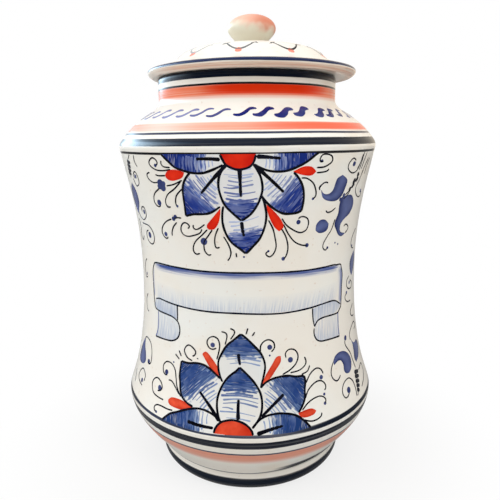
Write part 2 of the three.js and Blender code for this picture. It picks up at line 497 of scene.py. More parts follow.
# Rings painted on the turning jar, from low to high. What a ring doesn't say is as usual: how far its edges
# fade, how streaky it is and how much of the colour lies on. A ring may tilt, so that it climbs towards the
# right, and some are darker and wider at an angle round the jar and its opposite: the angle, the narrowest
# and widest facing, and the least share. On some rings this is painted light and shade, as noted at them.
usualRing = {"fadeLow": 0.4, "fadeHigh": 0.4, "streak": 0.3, "share": 1.0, "tilt": 0.0}
jarRings = [
    {"low": 13.4, "high": 15.2, "fadeHigh": 0.6, "colour": "slate", "streak": 0.45, "share": 0.6,
     "tilt": 0.08},
    # Navy over the join with the foot, thickest at 70 degrees round: a painted line widened into painted
    # shadow on the downward-facing wall just above the foot.
    {"low": 12.9, "high": 19.0, "fadeLow": 0.3, "fadeHigh": 1.6, "colour": "navy", "tilt": 0.08,
     "thick": (70, 0.5, 0.75, 0.0)},
    {"low": 27.6, "high": 39.5, "fadeLow": 8.0, "fadeHigh": 0.7, "colour": "brick", "share": 0.86},
    {"low": 39.0, "high": 40.7, "colour": "slate", "streak": 0.4, "share": 0.95},
    {"low": 44.7, "high": 50.0, "colour": "navy"},
    {"low": 52.7, "high": 54.9, "colour": "slate", "streak": 0.4},
    {"low": 52.2, "high": 55.5, "fadeLow": 0.3, "fadeHigh": 0.6, "colour": "navy", "streak": 0.2,
     "thick": (70, 0.5, 0.85, 0.0)},
    {"low": 216.6, "high": 218.3, "fadeLow": 0.3, "colour": "line"},
    {"low": 221.2, "high": 225.6, "fadeHigh": 0.3, "colour": "navy", "streak": 0.25},
    {"low": 227.5, "high": 229.0, "colour": "slate", "streak": 0.4},
    # The salmon and coral rings are loaded towards 50 degrees round and pale away from it: the paler left
    # side is painted highlight, standing in for the reflection that bleaches it.
    {"low": 229.2, "high": 234.1, "fadeLow": 0.9, "fadeHigh": 0.5, "colour": "salmon", "share": 0.86,
     "thick": (50, 0.0, 0.6, 0.3)},
    {"low": 229.4, "high": 233.9, "fadeLow": 1.2, "fadeHigh": 0.6, "colour": "coral", "share": 0.66,
     "thick": (50, 0.55, 1.0, 0.0)},
    {"low": 246.4, "high": 254.9, "fadeLow": 4.2, "colour": "orange", "streak": 0.4, "share": 0.8},
    {"low": 248.6, "high": 254.9, "fadeLow": 2.6, "colour": "red", "share": 0.97,
     "thick": (14, 0.7, 0.98, 0.06)},
    {"low": 254.6, "high": 256.0, "fadeLow": 0.3, "fadeHigh": 0.3, "colour": "line"},
    {"low": 258.6, "high": 264.0, "fadeHigh": 0.1, "colour": "navy", "streak": 0.15},
]
footRings = [{"low": -1.0, "high": 9.3, "fadeLow": 0.1, "fadeHigh": 1.2, "colour": "navy"}]
ringSway = {"scale": 22.0, "amount": 0.7}
brushHairs = {"around": 9.0, "upright": 1500.0, "limits": (0.35, 0.7)}
wornFoot = {"scale": 120.0, "height": 0.0014, "softness": 0.0004}      # bare clay up to this height in metres


def newMaterial(name):
    material = bpy.data.materials.new(name)
    material.use_nodes = True
    tree = material.node_tree
    tree.nodes.clear()
    return material, tree


def objectPlace(tree, middle=0.0):
    place = addNode(tree, "ShaderNodeTexCoord").outputs["Object"]
    if middle:
        place = addNode(tree, "ShaderNodeMapping", {0: place, "Location": (-middle * mm, 0, 0)}).outputs[0]
    return place


def attribute(tree, name):
    return addNode(tree, "ShaderNodeAttribute", attribute_name=name).outputs["Fac"]


def hairlines(tree, place, around, upright, detail):
    # Level streaks, as a brush leaves them on a turning pot
    stretched = addNode(tree, "ShaderNodeMapping", {0: place, "Scale": (around, around, upright)}).outputs[0]
    return noise(tree, stretched, 1.0, detail)


def glazeColour(tree, place):
    clouds = ramp(tree, noise(tree, place, glaze["cloudScale"], 3.0), *glaze["clouds"])
    base = blendColour(tree, clouds, glaze["white"], glaze["cool"])
    thin = ramp(tree, noise(tree, place, glaze["thinScale"]), *glaze["thin"])
    base = blendColour(tree, times(tree, thin, glaze["thinShare"]), base, glaze["warm"])
    specks = ramp(tree, noise(tree, place, glaze["speckScale"], 1.0), *glaze["specks"])
    return blendColour(tree, times(tree, specks, glaze["speckShare"]), base, glaze["clay"])


def finishGlaze(tree, colour, place, roughness=gloss["roughness"]):
    swell = noise(tree, place, gloss["swellScale"])
    peel = times(tree, noise(tree, place, gloss["peelScale"], 1.0), gloss["peel"])
    pits = ramp(tree, noise(tree, place, gloss["pitScale"], 0.0), *gloss["pits"])
    height = minus(tree, plus(tree, swell, peel), times(tree, pits, gloss["pitDepth"]))
    bump = addNode(tree, "ShaderNodeBump", {
        "Height": height, "Strength": gloss["bump"], "Distance": gloss["waviness"] * mm,
    }).outputs[0]
    surface = addNode(tree, "ShaderNodeBsdfPrincipled", {
        "Base Color": colour, "Roughness": roughness, "Specular IOR Level": gloss["mirror"], "Normal": bump,
    }).outputs[0]
    addNode(tree, "ShaderNodeOutputMaterial", {0: surface})


def ringMask(tree, height, axes, ring):
    if ring["tilt"]:
        climb = times(tree, maths(tree, "MAXIMUM", axes[0], 0.0), ring["tilt"] / mm)
        height = minus(tree, height, climb)
    rise = ramp(tree, height, ring["low"], ring["low"] + ring["fadeLow"])
    fall = ramp(tree, height, ring["high"], ring["high"] - ring["fadeHigh"])
    mask = times(tree, rise, fall, ring["share"])
    # Darker and wider where the ring faces the angle and its opposite; on the salmon, coral and foot-join
    # rings this is painted highlight and painted shadow.
    if "thick" in ring:
        angle, narrow, wide, least = ring["thick"]
        aim = (math.sin(math.radians(angle)), -math.cos(math.radians(angle)), 0)
        flat = joinVector(tree, axes[0], axes[1], 0.0)
        level = addNode(tree, "ShaderNodeVectorMath", {0: flat}, operation="NORMALIZE").outputs[0]
        facing = addNode(tree, "ShaderNodeVectorMath", {0: level, 1: aim}, operation="DOT_PRODUCT")
        facing = maths(tree, "ABSOLUTE", facing.outputs["Value"])
        load = times(tree, ramp(tree, facing, narrow, wide), 1.0 - least)
        mask = times(tree, mask, plus(tree, load, least))
    return mask


def paintRings(tree, colour, place, rings):
    axes = splitVector(tree, place)
    flat = joinVector(tree, axes[0], axes[1], 0.0)
    sway = waver(tree, flat, ringSway["scale"], ringSway["amount"])
    height = plus(tree, maths(tree, "DIVIDE", axes[2], mm), sway)
    hairs = hairlines(tree, place, brushHairs["around"], brushHairs["upright"], 3.0)
    streaks = ramp(tree, hairs, *brushHairs["limits"])
    for ring in rings:
        ring = {**usualRing, **ring}
        thinned = remainder(tree, times(tree, streaks, ring["streak"]))
        share = times(tree, ringMask(tree, height, axes, ring), thinned)
        colour = blendColour(tree, dense(tree, share), colour, inkTone[ring["colour"]])
    return colour


def bodyGlaze():
    material, tree = newMaterial("body_glaze")
    place = objectPlace(tree)
    plain = glazeColour(tree, place)
    ringed = paintRings(tree, plain, place, jarRings)
    finishGlaze(tree, blendColour(tree, attribute(tree, "outside"), plain, ringed), place)
    return material


def footGlaze():
    material, tree = newMaterial("foot_glaze")
    place = objectPlace(tree)
    ringed = paintRings(tree, glazeColour(tree, place), place, footRings)
    wornEdge = times(tree, noise(tree, place, wornFoot["scale"]), wornFoot["height"])
    bare = ramp(tree, minus(tree, splitVector(tree, place)[2], wornEdge), 0.0, -wornFoot["softness"])
    finishGlaze(tree, blendColour(tree, bare, ringed, glaze["clay"]), place)
    return material


lidPaint = {
    "line": tint(24, 38, 74), "lineFrom": (64.4, 65.0), "lineRise": 0.5, "lineShare": 0.94,
    "rimLow": 0.6,      # how far up the brim's edge the line starts, as a share of its thickness
    "sway": 0.9, "swayScale": 26.0,
    # Painted shade under the brim: its underside is tinted beige, streaked pink within that shade, and stays
    # white at its lit left end.
    "shade": tint(226, 205, 184), "shadeFrom": (60.0, 63.0), "shadeShare": 0.75, "shadeFade": (0.3, -0.6),
    "litBrimEnd": (-0.066, -0.04),      # the left end of the brim stays white, in metres from its middle
    "pink": tint(216, 164, 138), "pinks": (0.5, 0.7), "pinkShare": 0.7,
}


def lidGlaze():
    material, tree = newMaterial("lid_glaze")
    place = objectPlace(tree, lid["middle"])
    axes = splitVector(tree, place)
    squares = plus(tree, maths(tree, "POWER", axes[0], 2.0), maths(tree, "POWER", axes[1], 2.0))
    radius = maths(tree, "DIVIDE", maths(tree, "POWER", squares, 0.5), mm)
    height = maths(tree, "DIVIDE", axes[2], mm)
    sway = waver(tree, place, lidPaint["swayScale"], lidPaint["sway"])
    rimLow = lid["seat"] - lid["brimDrop"] + lidPaint["rimLow"] * lid["brimThickness"]
    line = times(tree, ramp(tree, plus(tree, radius, sway), *lidPaint["lineFrom"]),
                 ramp(tree, plus(tree, height, sway), rimLow, rimLow + lidPaint["lineRise"]))
    # Painted shade on the brim's underside, which stops at the lit left end; the pink streaks lie only within
    # it.
    fade = [rimLow + part for part in lidPaint["shadeFade"]]
    brim = times(tree, ramp(tree, radius, *lidPaint["shadeFrom"]), ramp(tree, height, *fade))
    brim = times(tree, brim, ramp(tree, axes[0], *lidPaint["litBrimEnd"]))
    colour = glazeColour(tree, place)
    colour = blendColour(tree, times(tree, brim, lidPaint["shadeShare"]), colour, lidPaint["shade"])
    streaks = ramp(tree, hairlines(tree, place, 12.0, 1100.0, 2.0), *lidPaint["pinks"])
    pinks = times(tree, brim, streaks, lidPaint["pinkShare"])
    colour = blendColour(tree, pinks, colour, lidPaint["pink"])
    line = dense(tree, times(tree, line, lidPaint["lineShare"]))
    colour = blendColour(tree, line, colour, lidPaint["line"])
    finishGlaze(tree, colour, place)
    return material


def flangeGlaze():
    # Thin glaze wiped over the clay, which shows through in streaks
    material, tree = newMaterial("flange_glaze")
    place = objectPlace(tree, lid["middle"])
    cover = ramp(tree, hairlines(tree, place, 30.0, 700.0, 3.0), 0.3, 0.75)
    finishGlaze(tree, blendColour(tree, cover, glaze["clay"], glaze["warm"]), place, gloss["flangeRoughness"])
    return material


knobPaint = {
    "rise": 130.0, "lean": 28.0, "edge": (-0.4, 0.5), "share": 0.9, "ragged": 1.3, "raggedScale": 120.0,
    "blush": (tint(228, 172, 150), tint(206, 116, 88)), "deepens": (-0.006, 0.009),
    "cream": (tint(226, 222, 204), tint(214, 205, 184)), "creamScale": 90.0,
}


def knobGlaze():
    # A blush over the knob's top, which reaches lower and lies deeper at its right
    material, tree = newMaterial("knob_glaze")
    place = objectPlace(tree, knob["middle"])
    axes = splitVector(tree, place)
    overWaist = minus(tree, axes[2], (knob["foot"] + knob["waist"]) * mm)
    lean = plus(tree, times(tree, overWaist, knobPaint["rise"]), times(tree, axes[0], knobPaint["lean"]))
    rough = waver(tree, place, knobPaint["raggedScale"], knobPaint["ragged"])
    share = times(tree, ramp(tree, plus(tree, lean, rough), *knobPaint["edge"]), knobPaint["share"])
    blush = blendColour(tree, ramp(tree, axes[0], *knobPaint["deepens"]), *knobPaint["blush"])
    cream = blendColour(tree, noise(tree, place, knobPaint["creamScale"]), *knobPaint["cream"])
    finishGlaze(tree, blendColour(tree, share, cream, blush), place, gloss["knobRoughness"])
    return material


# Heights in metres, between which the lower flower's inks give way to the upper one's
betweenFlowers = (0.13, 0.15)


def lowerDown(tree, place, low, high):
    return blendColour(tree, ramp(tree, splitVector(tree, place)[2], *betweenFlowers), low, high)


def brushPaint(name, deep, light, patchiness, scale=90.0, low=None):
    # The wash attribute says how thick the paint lies
    material, tree = newMaterial(name)
    place = objectPlace(tree)
    if low:
        deep, light = lowerDown(tree, place, low[0], deep), lowerDown(tree, place, low[1], light)
    thin = remainder(tree, attribute(tree, "wash"))
    pools = times(tree, ramp(tree, noise(tree, place, scale, 3.0), 0.35, 0.72), patchiness)
    finishGlaze(tree, blendColour(tree, plus(tree, pools, thin, clamp=True), deep, light), place)
    return material


def brushMap(tree, across, along):
    # The UV map of a patch is in millimetres, across and along
    brush = splitVector(tree, addNode(tree, "ShaderNodeUVMap", uv_map="brush").outputs[0])
    return joinVector(tree, times(tree, brush[0], across), times(tree, brush[1], along), 3.0)


# Hairs, ends and scratches are streaks in the wash, with their scales across and along the patch
petalBrush = {
    "hairs": (0.1, 0.85), "hairEdge": 0.26, "load": 1.5, "dry": 0.85,
    "ends": (0.3, 0.3), "raggedEnds": 0.4,
    "scratches": (0.07, 1.5), "scratchLimits": (0.56, 0.72), "scratchShare": 0.4,
    "pooling": 1.8, "poolLimits": (0.05, 0.85), "groundTint": 0.28,
}


def petalWash(name):
    # Paint laid on in strokes across the petal, closing up towards its tip, over a faint tint
    material, tree = newMaterial(name)
    place = objectPlace(tree)
    wash = attribute(tree, "wash")
    hairs = noise(tree, brushMap(tree, *petalBrush["hairs"]), 1.0, 1.5)
    ragged = waver(tree, brushMap(tree, *petalBrush["ends"]), 1.0, petalBrush["raggedEnds"], 1.0)
    thickness = plus(tree, wash, ragged)
    filled = minus(tree, times(tree, thickness, petalBrush["load"]), petalBrush["dry"])
    cover = ramp(tree, plus(tree, hairs, filled), 0.0, petalBrush["hairEdge"])
    scratches = noise(tree, brushMap(tree, *petalBrush["scratches"]), 1.0, 1.0)
    worn = times(tree, ramp(tree, scratches, *petalBrush["scratchLimits"]), petalBrush["scratchShare"])
    cover = times(tree, cover, remainder(tree, worn))
    pooled = plus(tree, wash, times(tree, minus(tree, hairs, 0.5), petalBrush["pooling"]))
    light = lowerDown(tree, place, inkTone["lowSky"], inkTone["sky"])
    deep = lowerDown(tree, place, inkTone["lowCobalt"], inkTone["cobalt"])
    ink = blendColour(tree, ramp(tree, pooled, *petalBrush["poolLimits"]), light, deep)
    thinned = lowerDown(tree, place, inkTone["lowPale"], inkTone["pale"])
    ground = blendColour(tree, petalBrush["groundTint"], glazeColour(tree, place), thinned)
    finishGlaze(tree, blendColour(tree, cover, ground, ink), place)
    return material


def thinWash(name, deep, light, across, along, streak):
    # Paint thinned with water, which lets the white through and shows the brush's streaks
    material, tree = newMaterial(name)
    place = objectPlace(tree)
    wash = attribute(tree, "wash")
    streaks = minus(tree, ramp(tree, noise(tree, brushMap(tree, across, along), 1.0), 0.3, 0.7), 0.5)
    streaked = times(tree, streaks, streak, ramp(tree, wash, 0.0, 0.3))
    share = plus(tree, wash, streaked, clamp=True)
    ink = blendColour(tree, share, light, deep)
    finishGlaze(tree, blendColour(tree, dense(tree, share), glazeColour(tree, place), ink), place)
    return material


# Painted ornament, laid out flat. Across is the arc round the front at paint["round"], up is the height.
# A petal has a left and a right edge from its foot to its tip. Its wash runs from pale to solid between two
# shares of its length, and its hatching lies between two others. Its level says how far it lies over its
# neighbours, and drawn names the edges that the dark line follows, each from one of its points on.

topFlower = {
    "petals": [
        {"left": [(-13.8, 189.2), (-14.7, 184.5), (-14.7, 178.9), (-13.1, 173.3), (-10, 168.3), (-5, 164.5),
                  (-1.6, 161.7)],
         "right": [(7.5, 195), (9.4, 189.5), (10.3, 183.3), (9.4, 177), (6.9, 170.8), (2.5, 165.8),
                   (-1.6, 161.7)],
         "wash": (0.36, 0.8), "hatch": (0.3, 0.8), "level": 0.05, "drawn": {"left": 0, "right": 0}},
        {"left": [(-7, 210.5), (-11, 209.6), (-23.8, 207.3), (-31.3, 207.3), (-35, 203.3), (-37.2, 198.3),
                  (-37.6, 192), (-37.6, 182.6)],
         "right": [(-7, 210.5), (-13.5, 203), (-15.4, 196), (-14.5, 189.5), (-20, 186), (-24.4, 184.5),
                   (-32.5, 183.9), (-37.6, 182.6)],
         "wash": (0.4, 0.9), "hatch": (0.28, 0.8), "level": 0.1, "drawn": {"left": 3}},
        {"left": [(1, 210.5), (7.2, 204), (7.8, 198), (9.5, 191.8), (16.9, 185.8), (21.3, 184.2),
                  (26.9, 184.2), (31, 185.3)],
         "right": [(1, 210.5), (6.9, 209.6), (18, 207.8), (24.4, 207.3), (28.1, 203.3), (30.9, 198.3),
                   (32, 192.6), (31, 185.3)],
         "wash": (0.4, 0.86), "hatch": (0.3, 0.8), "level": 0.1, "drawn": {}},
        {"left": [(-8, 217.2), (-20, 217.3), (-34, 217.3), (-48, 217.3)],
         "right": [(-8, 211.5), (-12.5, 211.7), (-18, 209.2), (-23.8, 207.3), (-30, 207.3), (-35.6, 208.6),
                   (-40, 210.1), (-43.8, 213.3), (-48, 217.3)],
         "wash": (0.2, 0.66), "hatch": (0.24, 0.7), "level": 0.16, "drawn": {"right": 1}},
        {"left": [(0, 211.8), (3.1, 212), (6.9, 209.8), (11.3, 208.3), (16.3, 207.8), (21.3, 208.3),
                  (26.3, 210.1), (31.3, 212.6), (38, 217.3)],
         "right": [(0, 217.2), (12, 217.3), (26, 217.3), (38, 217.3)],
         "wash": (0.22, 0.68), "hatch": (0.24, 0.7), "level": 0.16, "drawn": {}},
        {"left": [(-10.9, 211.4), (-14.4, 207), (-15.8, 200.8), (-15, 195.1), (-13.1, 190.1), (-10, 186.4),
                  (-3.8, 180.8)],
         "right": [(2.8, 212), (5, 208.9), (6.9, 204.5), (7.8, 199.5), (7.2, 195.1), (5, 189.5),
                   (1.3, 184.5), (-3.8, 180.8)],
         "wash": (0.44, 0.88), "hatch": (0.08, 0.84), "level": 0.22, "drawn": {"left": 0, "right": 0}},
    ],
    "outlines": [
        [(-37.6, 182.6), (-32.5, 183.9), (-24.4, 184.5), (-20, 186), (-15.6, 188.9)],
        [(3.1, 212), (6.9, 209.8), (11.3, 208.3), (16.3, 207.8), (21.3, 208.3), (26.3, 210.1),
         (31.3, 212.6), (36.3, 216.4), (38, 217.3)],
        [(24.4, 207.3), (28.1, 203.3), (30.9, 198.3), (32, 192.6), (31.6, 187), (30.6, 185.1),
         (26.9, 184.2), (21.3, 184.2), (16.9, 185.8), (12.5, 188.9), (10, 191.4), (7.2, 195)],
        [(-13.8, 217.3), (-12.4, 214), (-10.9, 211.7), (-7.5, 209.8), (-4.4, 209.2), (0, 210.1),
         (2.8, 212.6), (4.1, 217)],
    ],
    "veins": [
        [(-4.1, 209.5), (-4, 202), (-3.9, 194.2)], [(-3.8, 180.4), (-3.4, 176), (-2.5, 171.7)],
        [(-10.9, 211.7), (-18, 204.6), (-26.3, 195.8)], [(-13.8, 214.5), (-20, 214.9), (-26.9, 214.8)],
        [(4.4, 216), (10, 215.6), (16.9, 214.8)], [(5, 210), (12, 203.6), (19.7, 196.4)],
    ],
    "disc": {"left": [(-13.8, 217.3), (-12.4, 214), (-10.9, 211.7), (-7.5, 209.8), (-4.4, 209.2)],
             "right": [(4.1, 217.3), (3.8, 214.6), (2.8, 212.6), (0, 210.1), (-4.4, 209.2)]},
    "buds": [
        {"left": [(-15.6, 187.9), (-20.5, 182.5), (-24.7, 177.6), (-23.4, 175.4)],
         "right": [(-15.6, 187.9), (-15.9, 184.5), (-17.2, 179.5), (-20, 175.8), (-23.4, 175.4)]},
        {"left": [(10.3, 189.8), (11.3, 184.5), (14.6, 177.6), (18.1, 174.2)],
         "right": [(10.3, 189.8), (14.6, 186), (19.2, 180.8), (20.8, 176.6), (18.1, 174.2)]},
        {"left": [(-34.7, 207.6), (-40, 208.9), (-45.4, 208.2), (-47.8, 205.6)],
         "right": [(-34.7, 207.6), (-36.6, 204.4), (-42.8, 202.6), (-46.7, 203.4), (-47.8, 205.6)]},
        {"left": [(24, 207.6), (29, 205.7), (35, 205), (37.8, 207.2)],
         "right": [(24, 207.6), (29.6, 210.1), (34.8, 209.8), (37.8, 207.2)]},
    ],
    "tendrils": [
        [(-43.3, 208.9), (-48.9, 208.1), (-53.9, 208.4), (-57.8, 210.3), (-58.8, 212.3), (-57.2, 214.2),
         (-54.7, 215.2), (-52.5, 213.9), (-51.9, 212.3), (-53.2, 210.9)],
        [(-43.3, 210), (-47.2, 210.2), (-48.9, 211.2), (-49.2, 212.6), (-48.6, 213.7)],
        [(-47.7, 205.4), (-52.8, 205.1), (-55.6, 205.7)],
        [(-55, 201.2), (-58.9, 201), (-62.2, 202.6), (-63.4, 204.8), (-62.2, 206.2), (-60, 206.7)],
        [(-36.7, 203.1), (-42.8, 200.6), (-48.3, 199.5)],
        [(-54.7, 197.6), (-59.4, 194.8), (-61.7, 191.4), (-61.1, 188.1), (-58.3, 186.7), (-56.1, 187.6)],
        [(-37.8, 202.3), (-42.8, 198.1), (-48.3, 194.8), (-51.1, 191.4), (-51.4, 188.7), (-50, 187.1),
         (-47.8, 187.4)],
        [(-37.8, 198.1), (-41.7, 194.8), (-43.3, 192), (-43.6, 189.2), (-42.8, 188.1)],
        [(-47.2, 180.4), (-44.4, 181.2), (-41.1, 181.2)],
        [(-48.9, 180.1), (-53.9, 178.1), (-57.8, 174.8), (-59.2, 171.4), (-57.8, 168.7), (-55.3, 167.6),
         (-53.9, 168.9)],
        [(-45, 178.4), (-48.3, 175.3), (-50, 172), (-50.1, 169.8)],
        [(-27.8, 175.6), (-29.4, 173.1), (-33.9, 171.4), (-38.3, 170.6), (-41.7, 172), (-42.5, 174.8),
         (-41.1, 177.6), (-38.9, 178.7), (-36.7, 177.8), (-36.1, 176.4), (-37.5, 175.2)],
        [(-25.8, 178.4), (-28.9, 176.2), (-31.7, 175.1), (-33.6, 176.2), (-33.1, 177.8)],
        [(-24.4, 175.4), (-28.1, 172), (-32.5, 168.3), (-34.7, 164.5), (-34.4, 161.4), (-32.5, 160.3),
         (-30.3, 161.1)],
        [(-21.3, 175.4), (-24.4, 171.4), (-27, 168), (-27.2, 163.3), (-25, 160.4), (-22.8, 160.8)],
        [(-17.5, 176.7), (-19.7, 172), (-20.3, 167.6), (-19.4, 164.8), (-17.2, 165.4)],
        [(-14.7, 171.7), (-11.9, 167), (-10.6, 162.6), (-11.3, 159.5), (-12.8, 157.3)],
        [(-7.5, 162.3), (-7.2, 159.5)],
        [(11.6, 181), (14.4, 175.8), (15.9, 170.1), (16.6, 165.1), (15, 161.1), (12.5, 159.5),
         (10.3, 161.4), (11.9, 162.9)],
        [(19.4, 175.8), (22.5, 170.8), (24.1, 164.5), (23.1, 159.5), (21.3, 157.6)],
        [(20.6, 178.3), (23.8, 172.6), (28.1, 167.6), (33.1, 165.1), (37.2, 164.5)],
        [(19.4, 181.7), (22.5, 177.6), (27.5, 174.2), (31.9, 172.6), (35.6, 173.9), (36.9, 177.6),
         (35.6, 180.8), (31.9, 182), (29.7, 180.8)],
        [(29.1, 203.9), (32.5, 203.6), (36.9, 200.8), (39.4, 196.4), (39.7, 193.3), (38.1, 191.8)],
        [(37.8, 209.3), (42.8, 209.5), (46.7, 211.4), (47.8, 213.1), (46.7, 215.3), (43.9, 216.3),
         (40.6, 216.2), (39.2, 214.2), (39.7, 212.4), (41.7, 212.7)],
        [(38.1, 206.4), (43.3, 206.7), (45.6, 207.4), (46.1, 208.4)],
    ],
    "dots": [(-53.9, 210.9, 1.0), (-57.2, 189.2, 1.8), (-42.8, 188.1, 0.8), (-50.3, 187.4, 0.7),
             (-47.2, 180.4, 1.4), (-45.6, 181.6, 1.3), (-55.8, 170.3, 1.4), (-27.2, 168.3, 2.2),
             (-2.8, 159.8, 0.6), (11.9, 162.9, 0.7), (21.3, 157.9, 1.2), (37, 164.6, 1.3), (30, 178.9, 1.4),
             (38.1, 191.8, 0.8), (40.6, 212.9, 0.8), (-52.8, 200.8, 2.4), (-51.4, 198.4, 2.2),
             (-54, 198.9, 1.7), (-50.2, 200.8, 1.4)],
}

